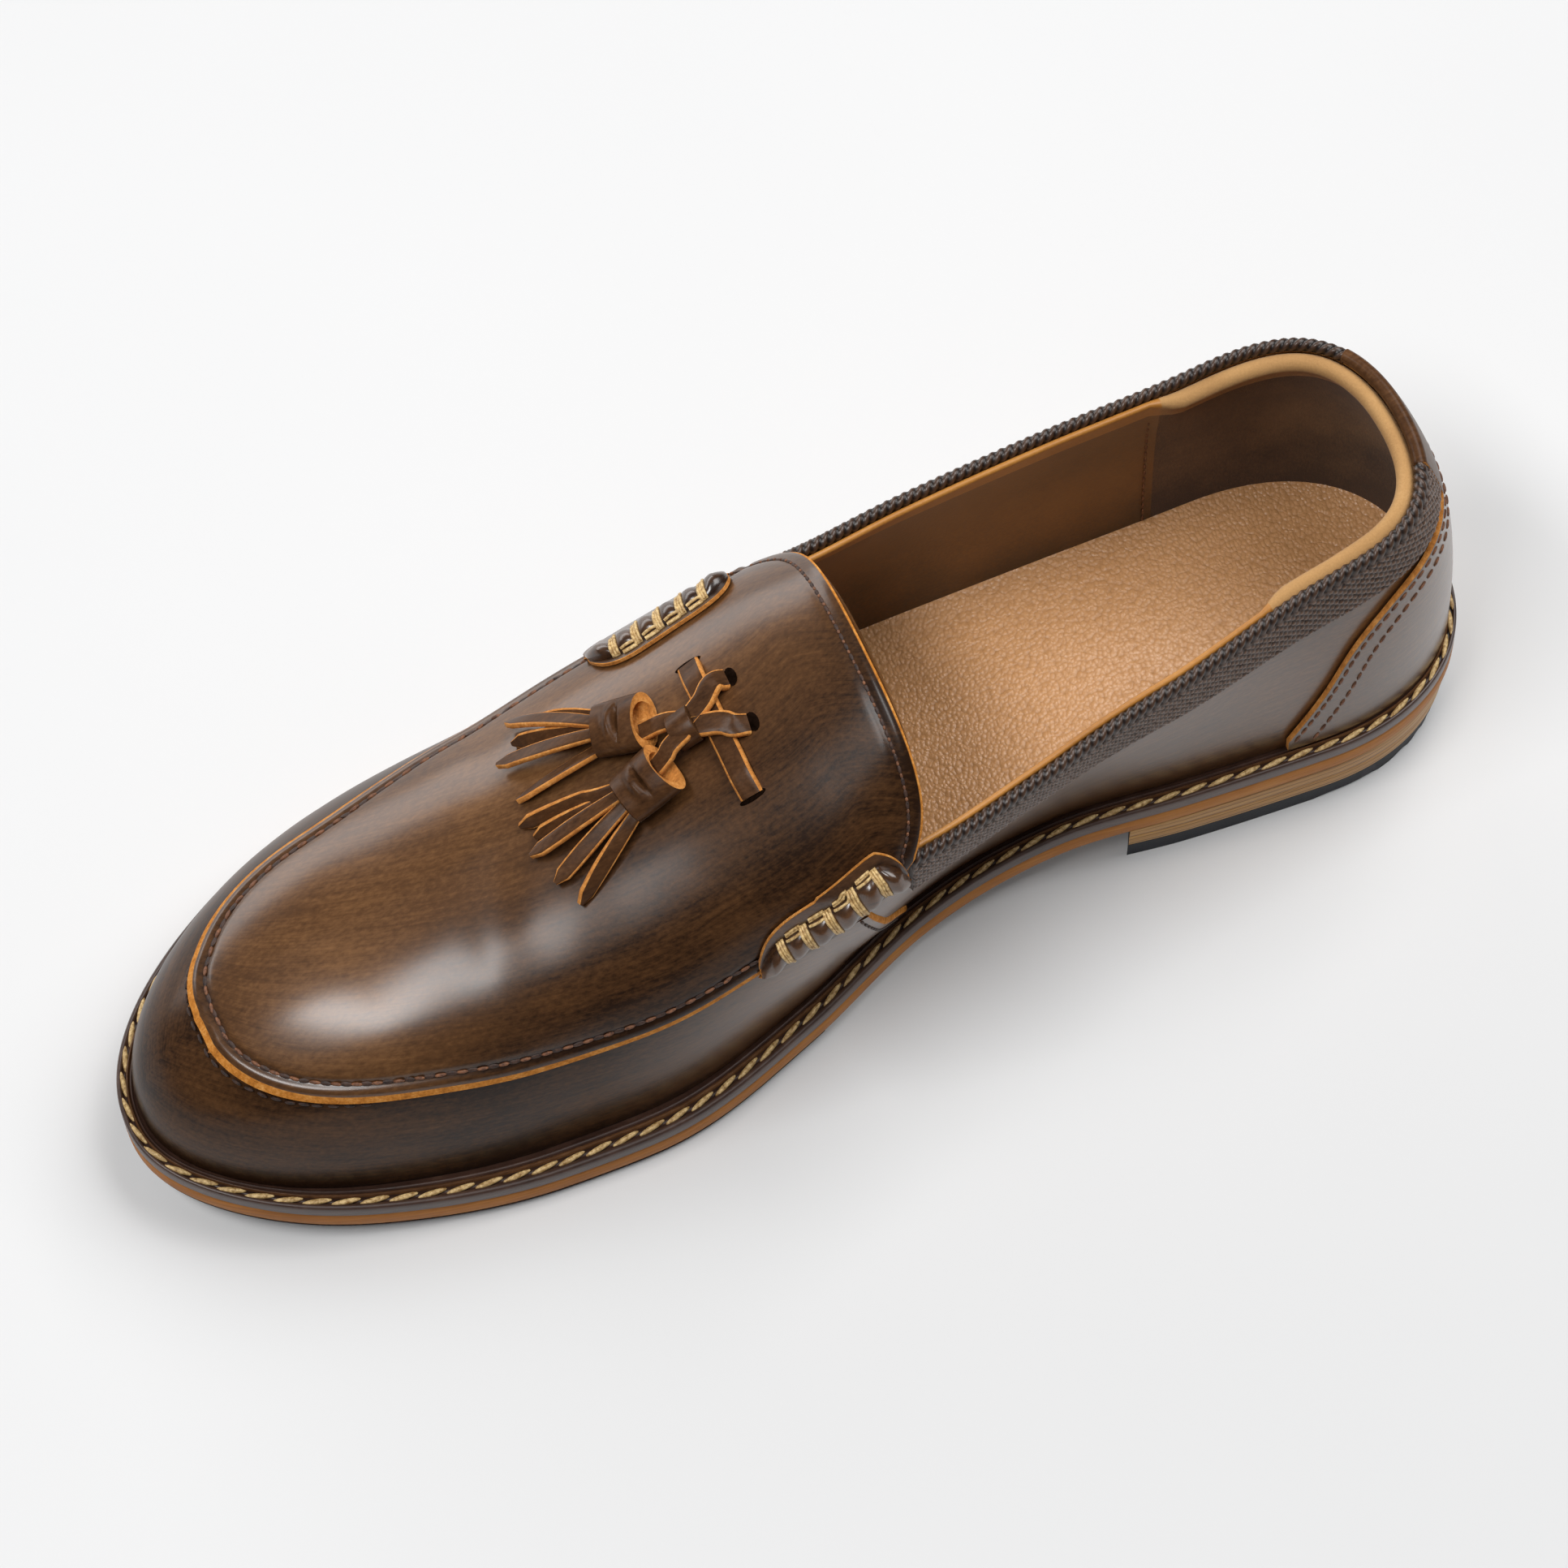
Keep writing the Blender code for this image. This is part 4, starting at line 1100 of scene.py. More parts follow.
# inner_rear: darker and less glossy towards the inner side of the apron's rear half.
inner_rear = np.clip((apron_face[..., 1] + 8) / 26, 0, 1) * np.clip((236 - apron_face[..., 0]) / 45, 0, 1)
apron_wax = 0.6 * edge_shade + 0.25 * toe_shade + 0.55 * groove_shade + 0.8 * inner_rear - 0.25
marked(apron, "burnish", apron_wax)
marked(apron, "gloss", 0.58 - 0.45 * inner_rear)
cut_seam = np.clip((1.85 - to_seam) / 0.3, 0, 1)
cut_tongue = np.clip((0.75 - to_tongue) / 0.3, 0, 1)
marked(apron, "raw", np.maximum(cut_seam, cut_tongue))
merged(apron)
thickened(apron, APRON - 0.8, rim=1)
settled(apron, [calf, tan_edge], ["apron"])

# %% [markdown]
# ## Lining under the apron
# Looking in from behind, the apron and tongue are lined too. The same sheet laid inside the form, and
# thickened inwards, lines them with no new shape to work out.

# %% Vamp lining
under_vamp = panel("vamp_lining", apron_sheet(-0.15)[:, ::2])
merged(under_vamp)
thickened(under_vamp, 1.3, rim=0)
settled(under_vamp, [tan_lining])

# %% [markdown]
# ## Stitches of the apron
# The stitch row follows the apron's edge a few millimetres in. Moving the edge inwards along the surface
# leaves it a little off the curved leather, so each point is then set on the nearest spot of the face.


# %% Apron stitches
def inset_path(edge, outs, distance, face, face_outs):
    """The edge moved inwards along the surface, and set on a face; gives points and their normals."""
    ahead = np.gradient(edge, axis=0)
    ahead = unit(ahead)
    inward = np.cross(outs, ahead)
    inward = unit(inward)
    flat, flat_outs = face.reshape(-1, 3), face_outs.reshape(-1, 3)
    middle = flat[np.linalg.norm(flat - flat.mean(axis=0), axis=1).argmin()]
    centre = len(edge) // 2
    if (inward[centre] * (middle - edge[centre])).sum() < 0:
        inward = -inward
    path, normals = [], []
    for spot in edge + inward * distance:
        k = ((flat - spot) ** 2).sum(1).argmin()
        path.append(spot - flat_outs[k] * ((spot - flat[k]) @ flat_outs[k]))
        normals.append(flat_outs[k])
    return np.array(path), np.array(normals)


seam_row, seam_ups = inset_path(seam_edge, seam_out, STITCH_INSET, apron_top, apron_out)
# Dark dashes between the stitches stand for the stitch holes: painted shade where the thread goes in.
seam("apron_hole_shade", seam_row, seam_ups, 4.2, (2.5, 1.05, 0.5), dark_thread, lift=0.04)
seam("apron_stitches", seam_row, seam_ups, 4.2, (2.3, 0.8, 0.8), rust_thread, lift=0.10, start=1.0)
tongue_row, tongue_ups = inset_path(tongue_edge[2:-2], apron_out[0, 2:-2], 3.0, apron_top, apron_out)
seam("tongue_hole_shade", tongue_row, tongue_ups, 2.4, (1.7, 0.75, 0.4), dark_thread, lift=0.04)
seam("tongue_stitches", tongue_row, tongue_ups, 2.4, (0.9, 0.6, 0.5), rust_thread, lift=0.10, start=1.0)

toe_middle = len(seam_edge) // 2
TOE_STITCH_REACH = int(40 / EDGE_STEP)
toe_run = slice(toe_middle - TOE_STITCH_REACH, toe_middle + TOE_STITCH_REACH)
toe_edge = seam_edge[toe_run] - seam_out[toe_run] * (LAID + APRON - 0.1)
toe_row, _ = inset_path(toe_edge, seam_out[toe_run], -1.4, wall_points, wall_points * 0 + (0, 0, 1))
toe_path = toe_edge + (toe_row - toe_edge) * (1, 1, 0.6)
seam("toe_stitches", toe_path, seam_out[toe_run], 3.1, (2.2, 0.8, 0.7), dark_thread)

# %% [markdown]
# ## Lining of the quarters
# The lining stands inside the walls and rolls over at the top, where it shows as a tan lip beside the
# woven band. At the heel it is padded and turns to nap. One section, drawn as height and offset, is swept
# round the heel; the lip is half a circle whose size follows the padding.

# %% Quarter lining
LINING_SEAM = 50.0
PAD = 2.4
LINING_END = 0.488
LINING_OUT = 1.35
LINING_BACK = 1.32
LINING_SKIN = 0.75
LIP_SKIN = 1.3
LIP_RISE = 0.9
LINING_FOOT = 0.2
FACE_POINTS, LIP_POINTS, BACK_POINTS = 16, 9, 8
LIP_FROM, LIP_TO = 13.5, 25


def lining_ring(turn):
    """Closed section of the lining: up its inner face, over the lip and down behind."""
    along, side = at_turn(turn)
    top = float(top_height(along))
    padded = PAD * float(np.clip((LINING_SEAM + 2 - along * SOLE_LENGTH) / 5, 0, 1))
    lip = (padded + LIP_SKIN) / 2
    heights = np.linspace(LINING_FOOT, top - lip, FACE_POINTS)
    swells = LINING_SKIN + (2 * lip - LINING_SKIN) * (heights / top) ** 4
    face = [(height, -LINING_OUT - swell) for height, swell in zip(heights, swells)]
    over = [(top - lip + LIP_RISE + lip * math.sin(a), -LINING_OUT - lip - lip * math.cos(a))
            for a in np.linspace(0, math.pi, LIP_POINTS)]
    behind = [(height, -LINING_BACK) for height in np.linspace(top - lip, LINING_FOOT, BACK_POINTS)]
    path = np.array(face + over + behind)
    return on_last(along, side, angle_at(along, side, path[:, 0]), path[:, 1])


lining_turns = np.linspace(-turn_at(LINING_END), turn_at(LINING_END), 151)
lining = tube("quarter_lining", [lining_ring(turn) for turn in lining_turns])
_, lining_centres = faces_of(lining)
ring_place = lay_of(lining)[:, 1] * (FACE_POINTS + LIP_POINTS + BACK_POINTS)
on_lip = (ring_place > LIP_FROM) & (ring_place < LIP_TO)
at_heel = lining_centres[:, 0] < LINING_SEAM
# The lip takes the lighter lip finishes, painted light; the heel takes the nap.
for mask, index in ((on_lip & ~at_heel, 1), (at_heel & ~on_lip, 2), (at_heel & on_lip, 3)):
    painted(lining, mask, index)
lining_spots = np.array([vertex.co for vertex in lining.data.vertices]) * 1000
lining_tops = top_height(np.clip(lining_spots[:, 0] / SOLE_LENGTH + 0.5, 0, LINING_END))
lining_depth = lining_tops - lining_spots[:, 2]
# depth: 0 by the lip to 1 far inside; the lining finishes darken with it, painted shade.
marked(lining, "depth", np.clip((lining_depth - 2) / 26, 0, 1))
settled(lining, [tan_lining, tan_lip_painted_light, nap, nap_lip_painted_light])
print("lining depth in mm from", round(lining_depth.min(), 1), "to", round(lining_depth.max(), 1))


# %% Lining seams
def lining_line(along, side):
    """Upright line on the lining's inner face."""
    heights = np.linspace(3, float(top_height(np.array(along))) - 4, 40)
    angles = angle_at(np.full(40, along), side, heights)
    return on_last(np.full(40, along), side, angles, -2.2), -last_normal(np.full(40, along), side, angles)


for seam_side, seam_name in ((1, "inner"), (-1, "outer")):
    line, line_ups = lining_line((LINING_SEAM + 2.2) / SOLE_LENGTH, seam_side)
    seam("lining_seam_" + seam_name, line, line_ups, 2.6, (2.0, 0.6, 0.5), rust_thread,
         lift=0.1)

# %% [markdown]
# ## The woven collar band
# A band of plaited leather is folded over the collar's edge. Plait seen this close has real relief, so
# it is geometry: two sets of slanting strands pass over and under each other in a checkered order, and
# the height of the upper one lifts the band's own surface.

# %% The plait
BAND_DEPTH = 11.0
BAND_OUT = 1.35
BAND_END = 0.468
TAB_INNER = 0.018
TAB_OUTER = 0.030
TAB_DEPTH = 13.0
STRAND = 1.9
PLAIT_DEPTH = 0.7
ROPE = 1.9


def plait(u, v):
    """Height, 0 to 1, of a slanting plain weave at u along and v across, in millimetres."""
    a, b = (u + v * 1.15) / STRAND, (u - v * 1.15) / STRAND
    s, t = a - np.floor(a) - 0.5, b - np.floor(b) - 0.5
    over = (np.floor(a) + np.floor(b)) % 2 == 0
    with_a = np.cos(math.pi * t) ** 0.6 * (0.45 + 0.55 * np.cos(math.pi * s))
    with_b = np.cos(math.pi * s) ** 0.6 * (0.45 + 0.55 * np.cos(math.pi * t))
    return np.where(over, with_a, with_b)


# %% The band's fold
BAND_POINTS = 58
BAND_STEP = 0.36


def band_path(depth, out, count):
    """Fold over the collar's edge as height from the edge and offset, with outward directions."""
    roll = (out + SKIN) / 2
    low = LAID - 0.2
    up = [(-depth + 0.35 * step, low + (out - low) * math.sin(step * math.pi / 2)) for step in (0, 0.5, 1)]
    rise = [(height, out) for height in np.linspace(-depth + 0.8, 0.2, int(count * 0.62))]
    turns = np.linspace(0, math.pi, int(count * 0.38))
    over = [(0.3 + roll * math.sin(a), out - roll + roll * math.cos(a)) for a in turns]
    path = np.array(up + rise + over)
    ahead = np.gradient(path, axis=0)
    ahead = unit(ahead)
    return path, np.stack([-ahead[:, 1], ahead[:, 0]], -1)


def collar_spot(turn):
    """Point of the last at the collar's edge."""
    along, side = at_turn(turn)
    return last_point(along, side, angle_at(along, side, top_height(along)))


def band_piece(name, start, end, depth, out, relief, step):
    """Sweeps the fold along the collar between two turns round the heel."""
    path, outward = band_path(depth, out, BAND_POINTS)
    down = run_of(path)
    fine = np.linspace(start, end, 400)
    edge = np.array([collar_spot(turn) for turn in fine])
    run = run_of(edge)
    lengths = np.linspace(0, run[-1], max(12, int(run[-1] / step)))
    rows, heights = [], []
    for length in lengths:
        turn = np.interp(length, run, fine)
        along, side = at_turn(turn)
        lift = plait(length, down) * relief
        rope = (0.5 + 0.5 * np.cos(2 * math.pi * (length / ROPE + 0.34 * down))) ** 0.7 * relief * 0.6
        lift = np.where(down > depth + 0.4, rope, lift)
        spot = path + outward * (lift - 0.4 * relief)[:, None]
        inner = [(0.12, -SKIN), (0.12, LAID - 0.2)]
        ring = np.concatenate([spot, inner])
        height = float(top_height(along)) + ring[:, 0]
        rows.append(on_last(along, side, angle_at(along, side, height), ring[:, 1]))
        heights.append(np.concatenate([lift / max(relief, 1e-6), [0, 0, lift[0]]]))
    rings = np.array(rows)
    points = np.concatenate([rings, rings[:, :1]], axis=1)
    piece = panel(name, points, (lengths[:, None], np.linspace(0, 1, points.shape[1])[None] * down[-1]))
    marked(piece, "burnish", np.zeros(points.shape[:2]))
    marked(piece, "relief", np.array(heights))
    shut(piece)
    return piece


# %% Woven leather and both bands
def plaited_leather():
    finish = Finish("plaited_leather", Coat_Roughness=0.2)
    height = finish.read("relief")
    clouds = finish.noise(finish.place(), 60.0, 3.0)
    fine = finish.noise(finish.place(), 1600.0, 3.0)
    # Colour follows the plait's height: darker hollows between the strands are painted shade.
    tone = height * 0.75 + clouds * 0.25 + fine * 0.12 - 0.06
    colour = finish.ramp(tone, (0.22, (0.010, 0.0045, 0.0028)), (0.55, (0.070, 0.033, 0.017)),
                         (0.92, (0.200, 0.105, 0.058)))
    finish.set(Base_Color=colour, Roughness=0.34 + fine * 0.12, Coat_Weight=height * 0.4,
               Normal=finish.bump(fine, 0.04))
    return finish


woven = plaited_leather()
inner_tab = turn_at(TAB_INNER)
outer_tab = -turn_at(TAB_OUTER)
band_throat = turn_at(BAND_END)
bands = (("collar_medial", inner_tab, band_throat), ("collar_lateral", -band_throat, outer_tab))
for name, start, end in bands:
    band = band_piece("woven_" + name, start, end, BAND_DEPTH, BAND_OUT, PLAIT_DEPTH, BAND_STEP)
    settled(band, [woven], [name], angle=70)

# %% [markdown]
# ## The heel tab and the stitches under the band
# A smooth strip covers the ends of the band at the back. It is the same fold without plait, a little
# larger so that it lies over the band, with a raw edge at each end.

# %% Heel tab
TAB_LAP = 0.012
TAB_RAISE = 0.35
tab = band_piece("heel_tab_leather", outer_tab - TAB_LAP, inner_tab + TAB_LAP, TAB_DEPTH,
                 BAND_OUT + TAB_RAISE, relief=0.0, step=0.5)
softened(tab, 0.3)
tab_normal, _ = faces_of(tab)
tab_ends = np.abs(tab_normal[:, 1]) > 0.93
painted(tab, tab_ends, 1)
settled(tab, [strap_calf, tan_edge], ["heel_tab"])


# %% Stitches under the band
def collar_line(start, end, below, offset, count=200):
    """Line at a depth under the collar's edge, and its normals."""
    path, ups = [], []
    for turn in np.linspace(start, end, count):
        along, side = at_turn(turn)
        angle = angle_at(along, side, top_height(along) - below)
        path.append(on_last(along, side, angle, np.array(offset)))
        ups.append(last_normal(along, side, angle))
    return np.array(path), np.array(ups)


STITCHES_FROM_TAB = 0.03
stitch_runs = (("medial", inner_tab + STITCHES_FROM_TAB, band_throat),
               ("lateral", -band_throat, outer_tab - STITCHES_FROM_TAB))
for name, start, end in stitch_runs:
    line, line_ups = collar_line(start, end, BAND_DEPTH - 1.0, BAND_OUT - 0.25)
    seam("band_stitches_" + name, line, line_ups, 2.5, (2.0, 0.65, 0.5), rust_thread, lift=0.15)

# %% [markdown]
# ## The counter
# A stiff overlay holds the heel. Its raw edge falls from the back in a curve to the welt, with one row
# of stitches close to the edge and another a few millimetres behind it.

# %% Counter
COUNTER = 1.2
COUNTER_FOOT = 0.9
COUNTER_END = float(COUNTER_TOP.rows[-1, 0])


def counter_spot(turn, height, offset):
    along, side = at_turn(turn)
    along = np.full(np.shape(height), along)
    return on_last(along, side, angle_at(along, side, height), offset)


counter_turns = np.linspace(-turn_at(COUNTER_END), turn_at(COUNTER_END), 141)
counter_rows, counter_lay = [], []
for turn in counter_turns:
    top = float(COUNTER_TOP.at("top", at_turn(turn)[0]))
    heights = COUNTER_FOOT + (top - COUNTER_FOOT) * np.linspace(0, 1, 36)
    counter_rows.append(counter_spot(turn, heights, LAID + COUNTER))
    counter_lay.append(heights)
counter_lay = np.array(counter_lay)
counter = panel("counter_leather", counter_rows, (counter_turns[:, None] * 30, counter_lay))
below_edge = counter_lay[:, -1:] - counter_lay
marked(counter, "burnish", 0.55 * np.exp(-counter_lay / 9) + 0.35 * np.exp(-below_edge / 5))
thickened(counter, COUNTER, rim=1)
softened(counter, 0.25)
marked(counter, "gloss", np.ones(len(counter.data.vertices)))
settled(counter, [calf, tan_edge], ["counter"])


# %% Counter stitches
def counter_row(inset):
    """Line inside the counter's edge: the edge in plan of girth and height, moved in square to itself."""
    turns = np.linspace(-turn_at(COUNTER_END) * 0.999, turn_at(COUNTER_END) * 0.999, 401)
    alongs = along_at(np.abs(turns))
    edge = np.stack([np.sign(turns) * alongs * SOLE_LENGTH, COUNTER_TOP.at("top", alongs)], -1)
    ahead = np.gradient(edge, axis=0)
    ahead = unit(ahead)
    moved = edge + np.stack([ahead[:, 1], -ahead[:, 0]], -1) * inset
    path, ups = [], []
    for place, height in moved:
        side = 1 if place > 0 else -1
        along = np.array(max(abs(place) / SOLE_LENGTH, LAST_LOW))
        if height > COUNTER_FOOT + 0.8:
            angle = angle_at(along, side, np.array(height))
            spot = on_last(along, side, angle, np.array(LAID + COUNTER))
            if not path or np.linalg.norm(spot - path[-1]) > 0.2:
                path.append(spot)
                ups.append(last_normal(along, side, angle))
    return np.array(path), np.array(ups)


for inset, name in ((1.3, "edge"), (5.4, "second")):
    line, line_ups = counter_row(inset)
    seam("counter_stitches_" + name, line, line_ups, 2.7, (2.15, 0.7, 0.55), rust_thread, lift=0.08)

# %% [markdown]
# ## Saddle tabs
# At each end of the apron's seam a tab is rolled over and lashed down with gold thread. The roll swells
# between the lashings, so its height is a bump across the seam, pinched at five places along it.

# %% A tab's section
SADDLE = 0.8
SADDLE_PLACE = {1: (0.527, 0.053), -1: (0.546, 0.052)}
SADDLE_SPAN = {1: (-10.5, 0.4), -1: (-15.0, 1.0)}
ROLL_MIDDLE = {1: -5.0, -1: -10.4}
NARROWS_TO = {1: 0.0, -1: -5.0}
ROLL_REACH = 2.7
ROLL_HEIGHT = {1: 3.1, -1: 2.3}
LASHINGS = np.linspace(-0.64, 0.62, 5)


def saddle_line(side, step, columns, lift=0.0):
    """Points of the tab at one place along the seam; columns run across it, positive to the welt."""
    middle, reach = SADDLE_PLACE[side]
    section = Section(middle + step * reach, side)
    width = (1 - 0.93 * abs(step) ** 4) ** 0.4
    below = NARROWS_TO[side] + (np.asarray(columns, float) - NARROWS_TO[side]) * width
    lap = np.clip((2.6 - below) / 2.2, 0, 1)
    skirt = np.clip((columns - ROLL_MIDDLE[side] - ROLL_REACH + 0.5) / 2.0, 0, 1)
    flap = LAID + (APRON + 1.2 * GAP) * lap + SADDLE * (1 - 0.6 * skirt)
    pinch = np.exp(-np.abs((step - LASHINGS) / 0.085) ** 2.0).sum()
    ends = np.clip((1 - abs(step)) / 0.18, 0, 1) ** 0.5
    bulge = np.clip(1 - np.abs((columns - ROLL_MIDDLE[side]) / ROLL_REACH) ** 2.4, 0, 1) ** 0.5
    roll = ROLL_HEIGHT[side] * ends * (1 - 0.42 * pinch) * bulge
    return section.point(section.seam() - below, flap + roll + lift)


# %% Lashings
def strand(name, path, radius, sides=8):
    """Round thread along a path."""
    path = np.asarray(path, float)
    ahead = np.gradient(path, axis=0)
    ahead = unit(ahead)
    first = np.cross(ahead, (0.3, 0.2, 1.0))
    first = unit(first)
    second = np.cross(ahead, first)
    turns = np.linspace(0, 2 * math.pi, sides, endpoint=False)
    swing = np.cos(turns)[None, :, None] * first[:, None] + np.sin(turns)[None, :, None] * second[:, None]
    return tube(name, path[:, None] + swing * radius)


def lashing(side):
    """Gold thread: three strands over the roll at each place, and a run along its upper side."""
    threads = []
    slips = np.array((-0.5, 0.0, 0.5)) / (SADDLE_PLACE[side][1] * SOLE_LENGTH)
    crown = ROLL_MIDDLE[side]
    over = np.linspace(crown - ROLL_REACH - 0.3, crown + ROLL_REACH - 0.1, 30)
    for place in LASHINGS:
        for slip in slips:
            leaning = place + slip - 0.09 * np.linspace(-0.5, 0.5, len(over))
            bar = [saddle_line(side, step, np.array([spot]), 0.18)[0] for step, spot in zip(leaning, over)]
            threads.append(strand("bar", bar, 0.33))
    for first, second in zip(LASHINGS, LASHINGS[1:]):
        for below in (-0.5, -0.15, 0.2):
            steps = np.linspace(first + (second - first) * 0.24, second - (second - first) * 0.16, 12)
            upper = np.array([crown - ROLL_REACH + below])
            threads.append(strand("run", [saddle_line(side, step, upper, 0.2)[0] for step in steps], 0.32))
    return threads


# %% Both tabs
for side, name in ((1, "medial"), (-1, "lateral")):
    steps = np.linspace(-1, 1, 141)
    first, last = SADDLE_SPAN[side]
    crown = ROLL_MIDDLE[side]
    parts = [np.linspace(first, crown - ROLL_REACH, 12)[:-1]]
    parts.append(crown - ROLL_REACH * np.cos(np.linspace(0, math.pi, 45)))
    parts.append(np.linspace(crown + ROLL_REACH, last, 10)[1:])
    columns = np.concatenate(parts)
    sheet = np.array([saddle_line(side, step, columns) for step in steps])
    tab = panel("saddle_tab_" + name, sheet, (steps[:, None] * 15, columns[None]))
    to_rim = np.minimum(nearest(sheet, np.concatenate([sheet[:, 0], sheet[0], sheet[-1]])), 20)
    # crease darkens the fold where the flap rises into the roll: painted shade.
    crease = np.exp(-((columns[None] - crown + ROLL_REACH) / 1.1) ** 2) + 0 * steps[:, None]
    marked(tab, "burnish", 0.2 + 0.6 * crease)
    marked(tab, "gloss", np.ones(sheet.shape[:2]))
    marked(tab, "raw", np.clip((0.35 - to_rim) / 0.2, 0, 1) * (columns[None] < crown))
    thickened(tab, SADDLE * 0.9, rim=1)
    settled(tab, [strap_calf, tan_edge], ["saddle_" + name])
    settled(joined("lashing_" + name, lashing(side)), [gold_thread], angle=80)

# %% [markdown]
# ## The vamp's rear edge
# Under each tab the front of the upper laps over its rear half, and the raw edge runs down to the welt.
# It could be a cut through the walls, but a thin overlay that fades out forwards shows the same step.

# %% Vamp edge
VAMP_EDGE = Table("girth along", [(0, 0.448), (12, 0.463), (24, 0.477), (36, 0.488), (46, 0.499)])
LAP_STEPS = [
    (0.0, 0.02), (0.25, 0.5), (0.6, 0.8), (1.1, 0.92), (2.0, 0.92), (4.0, 0.8), (8.0, 0.4), (12.0, 0.03),
]
LAP_GIRTH = 46
LAP_POINTS = 50


def vamp_edge_line(side, forward, offset, start=0.4):
    """Line beside the raw edge, moved forward along the wall and out from it, with its normals."""
    girths = np.linspace(start, LAP_GIRTH, LAP_POINTS)
    sections = [Section(VAMP_EDGE.at("along", girth) + forward / SOLE_LENGTH, side) for girth in girths]
    points = np.array([section.point(girth, offset) for section, girth in zip(sections, girths)])
    above = np.array([section.point(girth, offset + 1) for section, girth in zip(sections, girths)])
    return points, above - points


for side, name in ((1, "medial"), (-1, "lateral")):
    lap_rows = np.array([vamp_edge_line(side, *step)[0] for step in LAP_STEPS])
    forward = np.array([step[0] for step in LAP_STEPS])
    girths = np.linspace(0, LAP_GIRTH, LAP_POINTS)
    lap = panel("vamp_edge_" + name, lap_rows, (forward[:, None], girths[None]))
    marked(lap, "raw", np.clip((1.2 - forward[:, None]) / 0.3, 0, 1) + np.zeros((1, LAP_POINTS)))
    marked(lap, "burnish", np.full(lap_rows.shape[:2], 0.12))
    marked(lap, "gloss", np.full(lap_rows.shape[:2], 0.95))
    thickened(lap, 0.5, rim=0)
    settled(lap, [calf])
    line, line_ups = vamp_edge_line(side, 2.6, 0.9, 2.0)
    seam("vamp_edge_stitches_" + name, line, line_ups, 2.7, (2.1, 0.7, 0.5), dark_thread, lift=0.06)

# %% [markdown]
# ## Tie and tassels
# A flat lace crosses the apron, dives into a slit at each side, and is knotted in the middle. Its ends
# run into two caps of rolled leather with cut strips hanging from them. Straps are flat tubes along a
# route that lies on the apron: brown faces, and raw tan on the narrow sides, picked by the lay map.

# %% Straps on the apron
STRAP = 1.5
STRAP_WIDTH = 4.8
QUARTER = np.array([(1.0, 0.0), (1.0, 0.5), (0.93, 0.85), (0.80, 1.0), (0.4, 1.0)])
STRAP_RING = np.concatenate([
    QUARTER, (QUARTER * (-1, 1))[::-1], (QUARTER * (-1, -1))[1:], (QUARTER * (1, -1))[:0:-1],
])


def vamp_at(x, y, lift):
    """Point a set distance above the apron, over a place in plan."""
    along = x / SOLE_LENGTH
    shares = np.linspace(0.8, -0.8, 33)
    line = across(along, shares, 0.0)
    share = np.interp(-y, -line[:, 1], shares)
    return across(along, share, LAID + APRON + lift)[0]


def route_points(rows, count):
    """A smooth run through rows of x, y and lift on the apron, with the ups there."""
    rows = np.array(rows, float)
    steps = run_of(rows)
    table = Table("run x y lift", np.column_stack([steps, rows]))
    runs = np.linspace(0, steps[-1], count)
    route = np.stack([table.at(name, runs) for name in ("x", "y", "lift")], -1)
    points = np.array([vamp_at(*row) for row in route])
    ups = np.array([vamp_at(x, y, lift + 1) for x, y, lift in route]) - points
    return points, ups


def flat_rings(points, ups, widths, thickness, tilts):
    """Flat sections with chamfered sides along points, each tilted about the run."""
    ahead = np.gradient(points, axis=0)
    side = np.cross(ahead, ups)
    side = unit(side)
    rise = np.cross(side, ahead)
    rise = unit(rise)
    tilts = np.broadcast_to(tilts, len(points))[:, None]
    side, rise = side * np.cos(tilts) + rise * np.sin(tilts), rise * np.cos(tilts) - side * np.sin(tilts)
    widths = np.broadcast_to(widths, len(points))
    wide, tall = STRAP_RING.T
    return (points[:, None] + side[:, None] * wide[None, :, None] * widths[:, None, None] / 2
            + rise[:, None] * tall[None, :, None] * thickness / 2)


def strap(name, rows, widths, thickness=STRAP, count=24, tilts=0.0):
    points, ups = route_points(rows, count)
    if np.ndim(widths):
        widths = np.interp(np.linspace(0, 1, count), np.linspace(0, 1, len(widths)), widths)
    rings = flat_rings(points, ups, widths, thickness, tilts)
    piece = tube(name, rings)
    counts = np.empty(len(piece.data.polygons), np.int32)
    piece.data.polygons.foreach_get("loop_total", counts)
    place = lay_of(piece)[:, 1] * len(STRAP_RING)
    middle = (STRAP_RING + np.roll(STRAP_RING, -1, axis=0)) / 2
    on_side = np.abs(middle[np.clip(place.astype(int), 0, len(middle) - 1), 0]) > 0.82
    painted(piece, on_side | (counts > 4), 1)
    return piece


